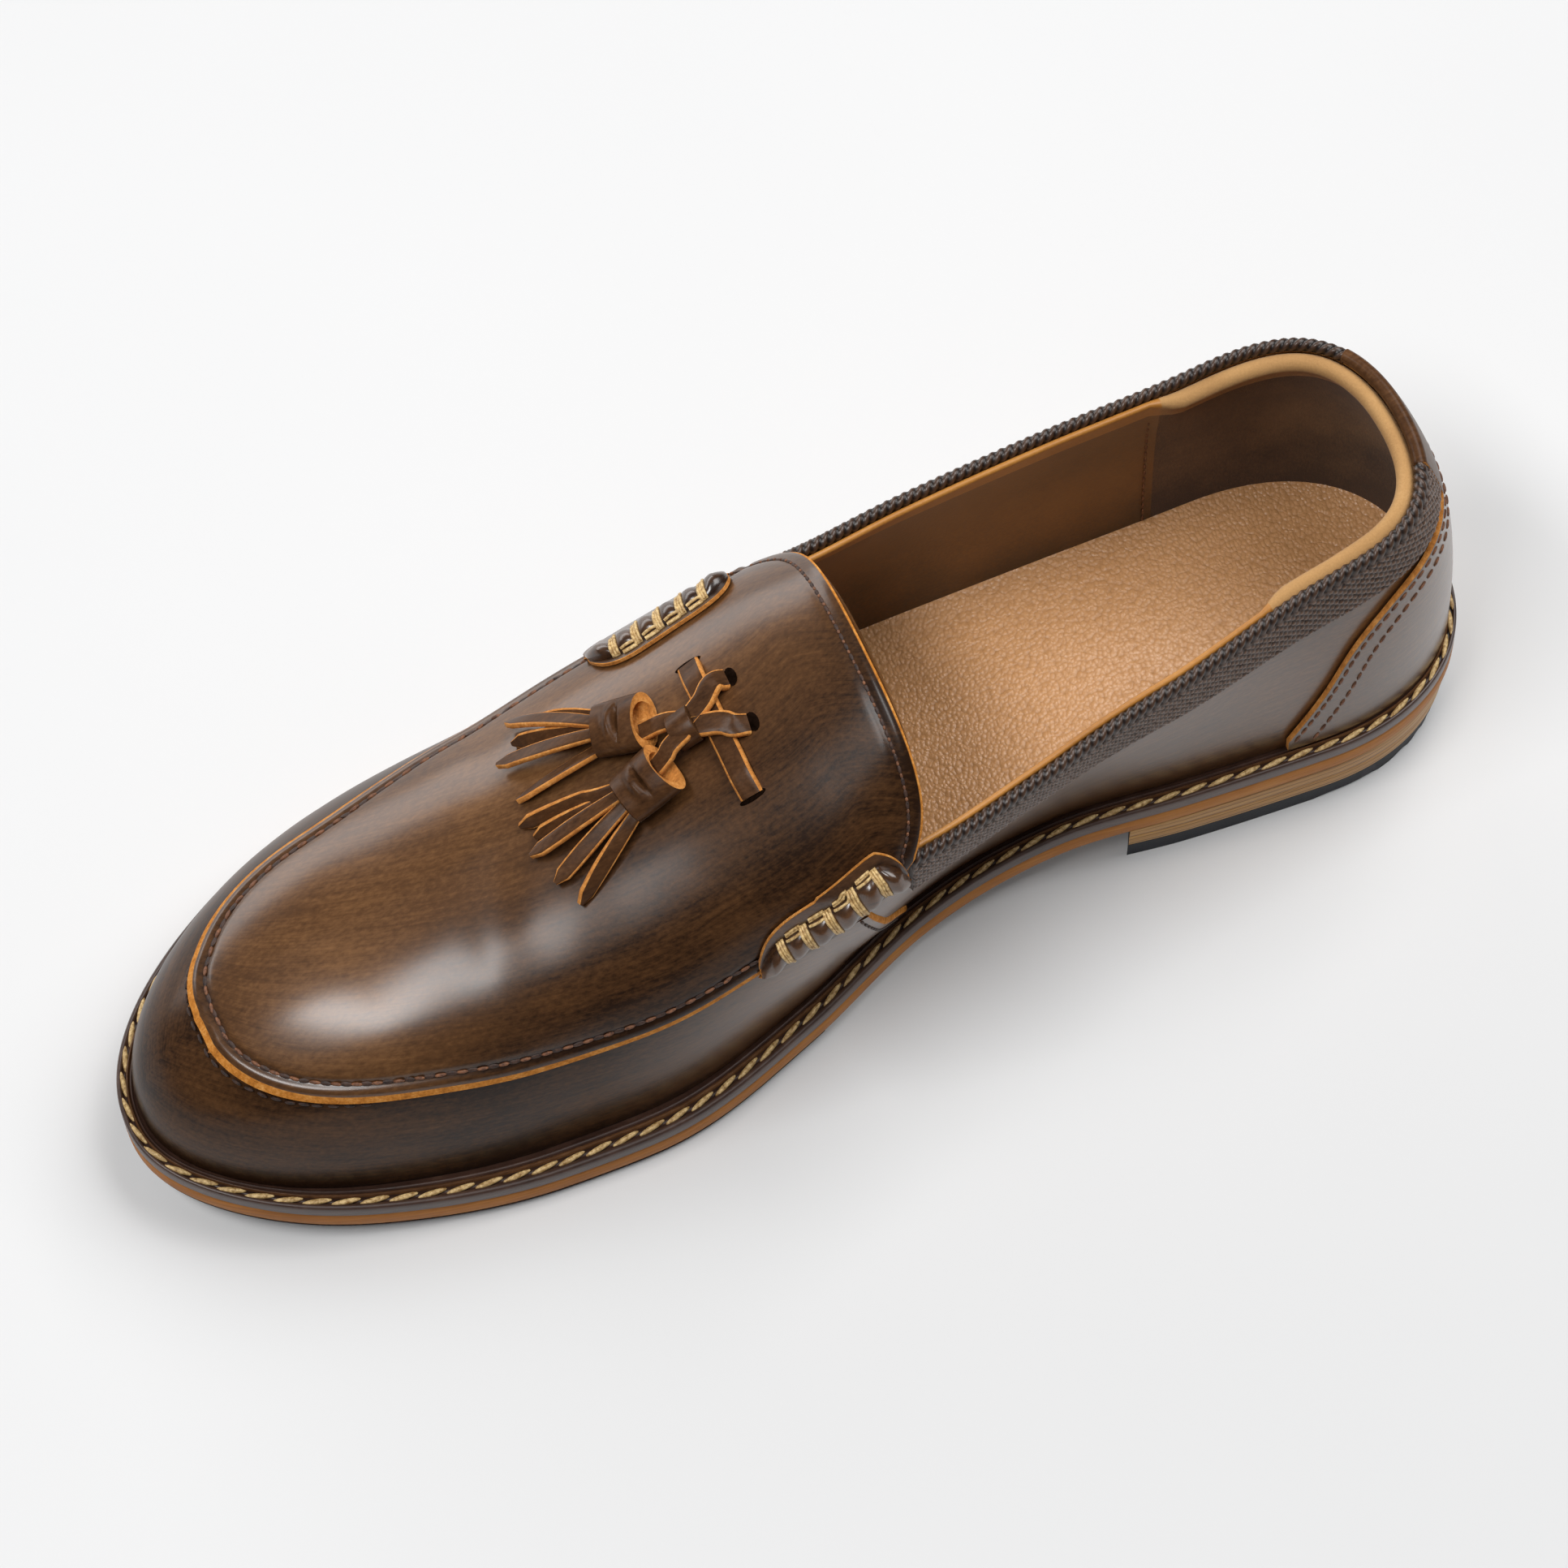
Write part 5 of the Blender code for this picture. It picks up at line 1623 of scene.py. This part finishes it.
# %% Lace, knot and ears
TIE_X = 156.5
TIE_OUTER = -10.0
TIE_INNER = 20.3
KNOT_X, KNOT_Y = 161.4, 2.8
EAR_X = 151.8
EAR_Y = (-2.6, 7.2)
CAP_START = 166.0
CAP_LENGTH = 11.8
CAP_WIDTH = 11.8
CAP_HEIGHT = 7.0
CAPS = {"lateral": (-2.2, -4.2, 0.0), "medial": (7.8, 2.2, 1.2)}
STRIPS = {
    "lateral": [
        (174.5, -8.4, 3.4, 185.0, -16.4, 1.3, 0.9), (175.5, -7.4, 4.2, 190.5, -19.6, 1.8, -0.35),
        (176.0, -6.2, 2.4, 191.4, -15.4, 0.9, 1.0), (176.0, -5.0, 4.6, 195.8, -11.4, 2.0, -0.15),
        (176.5, -3.0, 2.8, 195.6, -3.0, 0.9, -0.75),
    ],
    "medial": [
        (177.0, 6.0, 3.8, 197.2, 1.8, 1.1, 1.0), (177.0, 7.2, 2.6, 195.6, 4.6, 0.9, 0.9),
        (177.0, 8.4, 5.0, 197.5, 9.0, 2.2, -0.2), (176.6, 10.2, 4.4, 195.5, 15.9, 1.6, 0.3),
        (175.8, 12.2, 3.0, 193.1, 21.4, 1.0, 1.05),
    ],
}
rest = GAP + STRAP / 2

lace_rows = [(TIE_X, y, rest if TIE_OUTER < y < TIE_INNER else rest - 1.1)
             for y in np.linspace(TIE_OUTER, TIE_INNER, 9)]
laces = [strap("lace", lace_rows, STRAP_WIDTH)]
for y in EAR_Y:
    side = (y - KNOT_Y) * 0.4
    rows = [(KNOT_X - 0.5, KNOT_Y + side * 0.3, 3.6), (TIE_X, (y + KNOT_Y) / 2, 3.0), (EAR_X + 1.4, y, 1.9)]
    rows.append((EAR_X, y * 1.04, rest - 0.9))
    laces.append(strap("ear", rows, (4.2, 4.6, 4.8, 4.4)))
for y, _, raise_cap in CAPS.values():
    side = (y - KNOT_Y) * 0.5
    rows = [(KNOT_X - 1, KNOT_Y + side / 3, 4.2), (KNOT_X + 2, KNOT_Y + side, 4.4 + raise_cap)]
    rows.append((CAP_START + 3.0, y * 0.8 + 0.6, 3.4 + raise_cap))
    laces.append(strap("tail", rows, 3.8, 1.3))


# %% The knot
def wrap_band(x, y, reach, height, width, thickness):
    """Band of lace wound round the knot: flat sections round a circle that stands across the lace."""
    centre = vamp_at(x, y, 3.2)
    up = vamp_at(x, y, 4.2) - centre
    ahead = vamp_at(x + 1, y, 3.2) - centre
    ahead = unit(ahead)
    side = np.cross(up, ahead)
    turns = np.linspace(0, 2 * math.pi, 33)
    out = np.cos(turns)[:, None] * side * reach + np.sin(turns)[:, None] * up * height
    outward = unit(out)
    half, deep = width / 2, thickness / 2
    ring = [(-half, -deep), (half, -deep), (half, deep), (-half, deep), (-half, -deep)]
    spread = 1 + 0.12 * np.sin(turns)[:, None]
    points = np.stack([centre + out + ahead * a * spread + outward * b for a, b in ring], 1)
    piece = panel("wrap", points, (turns[:, None], np.linspace(0, 1, len(ring))[None]))
    shut(piece)
    softened(piece, 0.3, segments=3)
    return piece


laces.append(wrap_band(KNOT_X, KNOT_Y, 3.1, 2.5, 4.6, 1.5))
tie = joined("tassel_lace", laces)
marked(tie, "burnish", np.full(len(tie.data.vertices), 0.25))
settled(tie, [strap_calf, tan_edge], ["tassel_tie"], angle=50)


# %% Caps and fringe
def cap_piece(y, lean, raise_cap):
    """Rolled cap: its wall runs from the fringe to the mouth and turns back inside it."""
    low = vamp_at(CAP_START, y, GAP + CAP_HEIGHT / 2 + raise_cap)
    high = vamp_at(CAP_START + CAP_LENGTH, y + lean, GAP + CAP_HEIGHT / 2 + raise_cap * 0.5)
    up = vamp_at(CAP_START, y, GAP + CAP_HEIGHT / 2 + raise_cap + 1) - low
    axis = (high - low) / np.linalg.norm(high - low)
    side = np.cross(up, axis)
    up = np.cross(axis, side)
    wall = 1.9 / (CAP_WIDTH / 2)
    outer = [(t, 1.0 - 0.10 * t ** 2) for t in np.linspace(1, 0, 45)]
    outer[0] = (1.01, 0.72)
    inner = [(0.0, 1 - wall)] + [(t, 1 - wall - 0.05 * t) for t in (0.08, 0.25, 0.5)]
    turns = np.linspace(0, 2 * math.pi, 49)
    rows = []
    slant = 0.24 * (0.5 + 0.5 * np.sin(turns))
    for t, size in outer + inner:
        fold = 0.0
        if size > 0.8:
            crown = np.exp(-((turns - math.pi / 2) / 0.55) ** 2)
            ridge = 0.9 * math.exp(-((t - 0.66) / 0.08) ** 2)
            crease = 1.5 * math.exp(-((t - 0.53) / 0.03) ** 2)
            fold = crown * (ridge - crease)
        wide = (CAP_WIDTH / 2 * size + fold) * np.cos(turns)
        tall = (CAP_HEIGHT / 2 * size + fold) * np.sin(turns)
        tall = np.maximum(tall, -CAP_HEIGHT / 2 * 0.86)
        reach = (t + slant * np.clip(1 - t / 0.45, 0, 1))[:, None] * CAP_LENGTH
        rows.append(low + axis * reach + side * wide[:, None] + up * tall[:, None])
    piece = panel("cap", rows, (np.arange(len(rows))[:, None], turns[None]))
    shut(piece)
    painted(piece, lay_of(piece)[:, 0] > len(outer) - 0.9, 1)
    return piece


def fringe_piece(root_x, root_y, root_lift, tip_x, tip_y, tip_lift, tilt):
    """One cut strip, straight in plan from inside the cap to its pointed end near the apron."""
    rows = np.linspace((root_x, root_y, root_lift), (tip_x, tip_y, tip_lift), 4)
    rows[1:3, 2] += 0.5
    widths = (2.6, 2.8, 3.0, 3.2, 3.3, 3.4, 3.4, 3.3, 3.1, 0.9)
    return strap("strip", rows, widths, 1.15, 28, np.linspace(0.35, 1, 28) * tilt)


for name, cap in CAPS.items():
    strips = [fringe_piece(*row) for row in STRIPS[name]]
    tassel = joined("tassel_leather_" + name, [cap_piece(*cap)] + strips)
    marked(tassel, "burnish", np.full(len(tassel.data.vertices), 0.3))
    settled(tassel, [strap_calf, tan_edge], ["tassel_" + name], angle=50)

# %% [markdown]
# ## Punched holes
# Ears and lace go down through the apron in punched holes and slits. A real cut would need the apron's
# mesh opened, so each is a dark dish as thin as paper set into the face: painted shade for the hole.


# %% Holes under the lace
def hole(name, x, y, size):
    """Dark dish on the apron, painted shade for a hole; size is its length along the shoe, width and
    height.
    """
    spot, above, ahead = vamp_at(x, y, 0.1), vamp_at(x, y, 1.1), vamp_at(x + 1, y, 0.1)
    place = np.eye(4)
    up, run = above - spot, ahead - spot
    run = unit(run)
    side = np.cross(up, run)
    for k, part in enumerate((run, side, up, spot)):
        place[:3, k] = part
    return copies(name, stitch_model(*size), place[None])


holes = [hole("hole", EAR_X - 1.0, y * 1.04, (2.6, 4.2, 0.5)) for y in EAR_Y]
holes += [hole("slit", TIE_X, y, (6.0, 1.5, 0.5)) for y in (TIE_OUTER - 0.3, TIE_INNER + 0.3)]
# A near-black finish: painted shade for the holes and slits.
hole_shade = Finish("hole_painted_shade", Roughness=1.0, IOR=1.05)
specks = hole_shade.noise(hole_shade.place(), 900.0)
hole_shade.set(Base_Color=hole_shade.ramp(specks, (0.3, (0.004, 0.002, 0.001)), (0.7, (0.012, 0.006, 0.004))))
settled(joined("lace_holes", holes), [hole_shade], angle=80)

# %% [markdown]
# ## The welt and its stitches
# The welt is a strip sewn round the foot. Its section, a row for each bend, is swept round the sole: a
# flat lip, a channel for the thread and two beads beside the upper. The thread is thick and gold.

# %% Welt
WELT_ROWS = Table("row share extra height", [
    (0, 0.00, 0.0, 0.0), (1, 0.00, 0.0, 1.2), (2, 0.00, 0.0, 2.3), (3, 0.03, 0.0, 2.8),
    (4, 0.10, 0.0, 3.05), (5, 0.19, 0.0, 3.05), (6, 0.25, 0.0, 2.9), (7, 0.29, 0.0, 2.4),
    (8, 0.34, 0.0, 2.1), (9, 0.44, 0.0, 2.1), (10, 0.49, 0.0, 2.4), (11, 0.52, 0.0, 3.0),
    (12, 0.56, 0.0, 3.4), (13, 0.62, 0.0, 3.5), (14, 0.67, 0.0, 3.3), (15, 0.70, 0.0, 2.95),
    (16, 0.74, 0.0, 3.3), (17, 0.80, 0.0, 3.45), (18, 0.86, 0.0, 3.25), (19, 0.90, 0.0, 3.0),
    (20, 1.00, 1.0, 3.0), (21, 1.00, 4.0, 3.0), (22, 1.00, 4.0, 0.0),
])


def around_sole(turns, inset, height, lift):
    """Points round the sole's edge, heel first on the inner side, set in and raised."""
    along = (1 - np.cos(np.abs(turns))) / 2
    inner, outer = (lifted(edge, height) for edge in sole_edges(along, inset))
    return np.where((turns >= 0)[:, None], inner, outer) + (0, 0, lift)


welt_turns = np.linspace(-math.pi, math.pi, 401)
welt_reveal = LAST.at("reveal", (1 - np.cos(np.abs(welt_turns))) / 2)
welt_rings = [around_sole(welt_turns, share * welt_reveal + extra, welt_seat, height)
              for _, share, extra, height in WELT_ROWS.rows]
welt_points = np.array(welt_rings + welt_rings[:1]).transpose(1, 0, 2)
welt = panel("stitched_welt", welt_points, (welt_turns[:, None], np.arange(welt_points.shape[1])[None]))
shut(welt)
welt_rows = lay_of(welt)[:, 1]
painted(welt, (welt_rows > 11) & (welt_rows < 15), 1)
settled(welt, [welt_wax, strap_calf], ["welt"], angle=60)

# %% Welt stitches
WELT_PITCH = 5.6
stitch_turns = np.linspace(-math.pi, math.pi, 1201)
stitch_reveal = LAST.at("reveal", (1 - np.cos(np.abs(stitch_turns))) / 2)
stitch_line = around_sole(stitch_turns, 0.39 * stitch_reveal, welt_seat, 2.75)
seam("welt_stitches", stitch_line, (0, 0, 1), WELT_PITCH, (6.0, 1.2, 1.15), gold_thread,
     yaw=0.18)

# %% [markdown]
# ## Outsole, tread and heel
# The sole is a plate whose two edges come from one outline. Each station along it is a ring, up the inner
# edge and down the outer one, and the rings are joined from heel to toe. The tread is made the same way.


# %% Outsole and tread
def plate_rings(profile, along):
    """A ring for each station: profile rows are inset and height, from the bottom up."""
    inner, outer = [], []
    for inset, height in profile:
        edges = sole_edges(along, inset)
        inner.append(lifted(edges[0], height))
        outer.append(lifted(edges[1], height))
    return np.array(inner + outer[::-1]).transpose(1, 0, 2)


def raised(height):
    return lambda along: base(along) + height


sole_profile = [(1.2, raised(0)), (0.35, raised(0.2)), (0.05, raised(0.9)), (0.0, raised(2.5)),
                (0.05, raised(OUTSOLE - 0.9)), (0.35, raised(OUTSOLE - 0.2)), (1.2, raised(OUTSOLE))]
outsole = tube("leather_outsole", plate_rings(sole_profile, stations(221)))
sole_normal, _ = faces_of(outsole)
painted(outsole, sole_normal[:, 2] < -0.8, 1)
settled(outsole, [edge_stain, waist], ["outsole"])

TREAD_START = 0.53
tread_along = (1 - np.cos(np.linspace(math.acos(1 - 2 * TREAD_START), math.pi, 141))) / 2
tread_profile = [(1.5, raised(-GAP - TREAD)), (0.7, raised(-GAP - TREAD + 0.5)), (0.35, raised(-GAP))]
tread = tube("forepart_rubber", plate_rings(tread_profile, tread_along))
settled(tread, [tread_rubber], ["forepart_tread"])

SOLE_STITCH_INSET = 9.0
under_turns = np.concatenate([np.linspace(1.66, math.pi, 260), np.linspace(-math.pi, -1.66, 260)])
under_line = around_sole(under_turns, SOLE_STITCH_INSET, raised(-GAP - TREAD), 0.12)
seam("sole_stitches", under_line, (0, 0, -1), 5.2, (4.4, 1.0, 0.5), cream_thread, yaw=0.05)

# %% [markdown]
# ## The heel
# Two leather lifts and a rubber top piece stack up under the sole, with a hollow curve at the front. Each
# layer is a lower and an upper sheet with a rim between them. Under the rear of the top piece run ribs.


# %% Heel layers
HEEL_LENGTH = 81.0
HEEL_CONCAVE = 9.0
TOP_PIECE = 6.0
LOWER_LIFT = 3.9
RIB = 2.5
RIB_DEPTH = 0.7
RIB_END = 40.0
HEEL_ROWS = 60
TOP_COLUMNS = 133
LIFT_COLUMNS = 41


def heel_turns():
    return np.linspace(0, math.acos(1 - 2 * HEEL_LENGTH / SOLE_LENGTH), HEEL_ROWS)


def heel_sheet(inset, height, columns=TOP_COLUMNS):
    """Sheet of the heel's plan back to its concave breast, at a height function of x and y."""
    turns = heel_turns()
    shares = np.linspace(-1, 1, columns)
    inner, outer = sole_edges((1 - np.cos(turns)) / 2, inset)
    sheet = between_edges(inner, outer, shares)
    sheet[..., 0] -= HEEL_CONCAVE * (1 - shares ** 2) * np.linspace(0, 1, len(turns))[:, None] ** 2
    return np.concatenate([sheet, height(sheet[..., 0], sheet[..., 1])[..., None]], -1)


def heel_layer(name, under, over, bare=None):
    """Closed layer between two sheets; bare marks the faces of the lower one that have a second finish."""
    sides = [np.stack([under[0], over[0]]), np.stack([under[-1], over[-1]])]
    sides += [np.stack([under[:, 0], over[:, 0]]), np.stack([under[:, -1], over[:, -1]])]
    parts = [panel(name, sheet) for sheet in [under, over] + sides]
    if bare is not None:
        painted(parts[0], bare.ravel(), 1)
    layer = joined(name, parts)
    shut(layer)
    return layer


def level(height):
    return lambda x, y: np.full(x.shape, height)


def ribs(x, y):
    """Underside of the top piece: grooves that run lengthwise under the rear of the heel."""
    wave = np.clip(np.cos(2 * math.pi * y / RIB) * 1.6 + 0.2, 0, 1)
    return RIB_DEPTH * wave * np.clip((RIB_END - x) / 1.2, 0, 1) * np.clip((x - 4.5) / 1.5, 0, 1)


# %% Top piece and lifts
lift_low = TOP_PIECE + GAP
lift_high = lift_low + LOWER_LIFT + GAP
bare_rows = SOLE_LENGTH * (1 - np.cos(heel_turns()[1:])) / 2
bare_shares = np.abs(np.linspace(-1, 1, TOP_COLUMNS - 1))
bare_along = (bare_rows > RIB_END + 2) & (bare_rows < HEEL_LENGTH - 11)
bare_patch = bare_along[:, None] & (bare_shares < 0.74)[None]
top_sheets = heel_sheet(2.2, ribs), heel_sheet(1.4, level(TOP_PIECE))
top_piece = heel_layer("heel_top_rubber", *top_sheets, bare_patch)
settled(top_piece, [black_rubber, waist], ["heel_top_piece"], angle=35)
lower_under = heel_sheet(1.3, level(lift_low), LIFT_COLUMNS)
lower_top = heel_sheet(1.0, level(lift_low + LOWER_LIFT), LIFT_COLUMNS)
lower = heel_layer("heel_stack_lower", lower_under, lower_top)
softened(lower, 0.2)
settled(lower, [stack], ["heel_lift_lower"], angle=35)
upper_under = heel_sheet(0.9, level(lift_high), LIFT_COLUMNS)
upper_top = heel_sheet(0.5, lambda x, y: base(np.clip(x / SOLE_LENGTH, 0, 1)) - GAP, LIFT_COLUMNS)
upper_lift = heel_layer("heel_stack_upper", upper_under, upper_top)
softened(upper_lift, 0.2)
settled(upper_lift, [stack], ["heel_lift_upper"], angle=35)

# %% [markdown]
# ## The sock
# The footbed is covered by one pebbled sock. It rises a little at its rim where it meets the lining and
# has a shallow hollow under the heel, so it doesn't look like a board.

# %% Sock
sock_along = stations(151, 0.004, 0.985)
sock_inset = LAST.at("reveal", sock_along) + 1.7
sock_inner, sock_outer = sole_edges(sock_along, sock_inset)
sock_shares = np.sin(np.linspace(-math.pi / 2, math.pi / 2, 49))
sock_plan = between_edges(sock_inner, sock_outer, sock_shares)
sock_x = sock_plan[..., 0] / SOLE_LENGTH
rim_rise = 0.4 * np.abs(sock_shares[None]) ** 8
heel_hollow = 0.7 * np.exp(-((sock_x - 0.14) / 0.09) ** 2) * (1 - sock_shares[None] ** 2)
sock_top = feather(sock_x) + INSOLE + rim_rise - heel_hollow
sock_piece = panel("insole_sock", np.concatenate([sock_plan, sock_top[..., None]], -1), facing=(0, 0, 1))
thickened(sock_piece, 2.2, rim=0)
settled(sock_piece, [sock], ["insole"])

# %% [markdown]
# ## Floor, light and camera
# The shoe stands on a pale floor with a faint glow that fades with distance. A soft light over the toe
# draws the shine, a wall of light on the far side draws the far edge and a broad light hangs over the
# heel. The camera looks from where the photograph was taken, worked out from the sole's length. It keeps
# the photograph's own roll, and is turned and zoomed so that the one shoe fills the frame.

# %% Floor and surroundings
GLOW = 0.06
GLOW_FADE = (0.42, 1.2)
bpy.ops.object.select_all(action="DESELECT")
bpy.ops.mesh.primitive_plane_add(size=9)
floor = bpy.context.object
floor.name = "floor"
pale = Finish("pale_floor", Roughness=0.8, Emission_Strength=GLOW)
distance = pale.node("ShaderNodeVectorMath", {"operation": "LENGTH"}, (pale.place(),), 1)
pale.set(Emission_Color=pale.mix(distance.between(*GLOW_FADE), (0.97, 0.98, 1.0), (0.05, 0.05, 0.05)))
mottle = pale.noise(pale.place(), 3.0)
pale.set(Base_Color=pale.ramp(mottle, (0.3, (0.72, 0.72, 0.72)), (0.7, (0.74, 0.74, 0.74))))
floor.data.materials.append(pale.material)

world = bpy.data.worlds.new("studio")
world.use_nodes = True
sky = world.node_tree.nodes["Background"].inputs
sky["Color"].default_value = (0.93, 0.96, 1.0, 1)
sky["Strength"].default_value = 0.06
bpy.context.scene.world = world
bpy.context.scene.view_settings.view_transform = "Standard"


# %% Lights
LIGHT_AIM = (0.05, 0.0, 0.05)


def softbox(name, azimuth, elevation, distance, size, power):
    """Area light that faces the shoe from a direction; azimuth turns from the toe to the inner side."""
    a, e = math.radians(azimuth), math.radians(elevation)
    aim = Vector(LIGHT_AIM)
    place = aim + Vector((math.cos(e) * math.cos(a), math.cos(e) * math.sin(a), math.sin(e))) * distance
    data = bpy.data.lights.new(name, "AREA")
    data.shape = "RECTANGLE"
    data.size, data.size_y = size
    data.energy = power
    light = bpy.data.objects.new(name, data)
    bpy.context.collection.objects.link(light)
    facing = (aim - place).to_track_quat("-Z", "Y").to_matrix().to_4x4()
    light.matrix_world = Matrix.Translation(place) @ facing


softbox("key", 17, 68, 1.35, (0.80, 0.26), 10)
softbox("back_wall", -74, 14, 1.6, (2.0, 0.6), 13)
softbox("rear", -170, 60, 1.6, (1.3, 1.0), 20)

# %% Camera
PHOTO_SIZE = 1932
PHOTO_LENS, SENSOR = 85.0, 36.0
PHOTO_ELEVATION, PHOTO_SWING = math.radians(64.5), math.radians(24.27)
PHOTO_DISTANCE = 1199.75
PHOTO_AIM = np.array([114.87, 37.04, 0.0])
SHOE_MIDDLE_PIXEL = (806, 830)
ZOOM = 1.62
right = np.array([-math.cos(PHOTO_SWING), math.sin(PHOTO_SWING), 0])
toward = np.array([math.sin(PHOTO_SWING), math.cos(PHOTO_SWING), 0])
back = toward * math.cos(PHOTO_ELEVATION) + np.array([0, 0, math.sin(PHOTO_ELEVATION)])
above = np.cross(back, right)
focal = PHOTO_LENS / SENSOR * PHOTO_SIZE
shift = (np.array(SHOE_MIDDLE_PIXEL) - PHOTO_SIZE / 2) / focal
sight = Vector(-back + right * shift[0] - above * shift[1])
camera_data = bpy.data.cameras.new("camera")
camera_data.lens = PHOTO_LENS * ZOOM
camera_data.sensor_width = SENSOR
camera_data.clip_end = 20
camera = bpy.data.objects.new("camera", camera_data)
bpy.context.collection.objects.link(camera)
eye = Vector(to_frame(PHOTO_AIM + back * PHOTO_DISTANCE))
view_back = -sight.normalized()
view_right = Vector(right) - view_back * view_back.dot(Vector(right))
view_right.normalize()
turned = Matrix((view_right, view_back.cross(view_right), view_back)).transposed()
camera.matrix_world = Matrix.Translation(eye) @ turned.to_4x4()
bpy.context.scene.camera = camera
print("camera at", [round(value, 4) for value in eye], "and pieces made:", len(made))
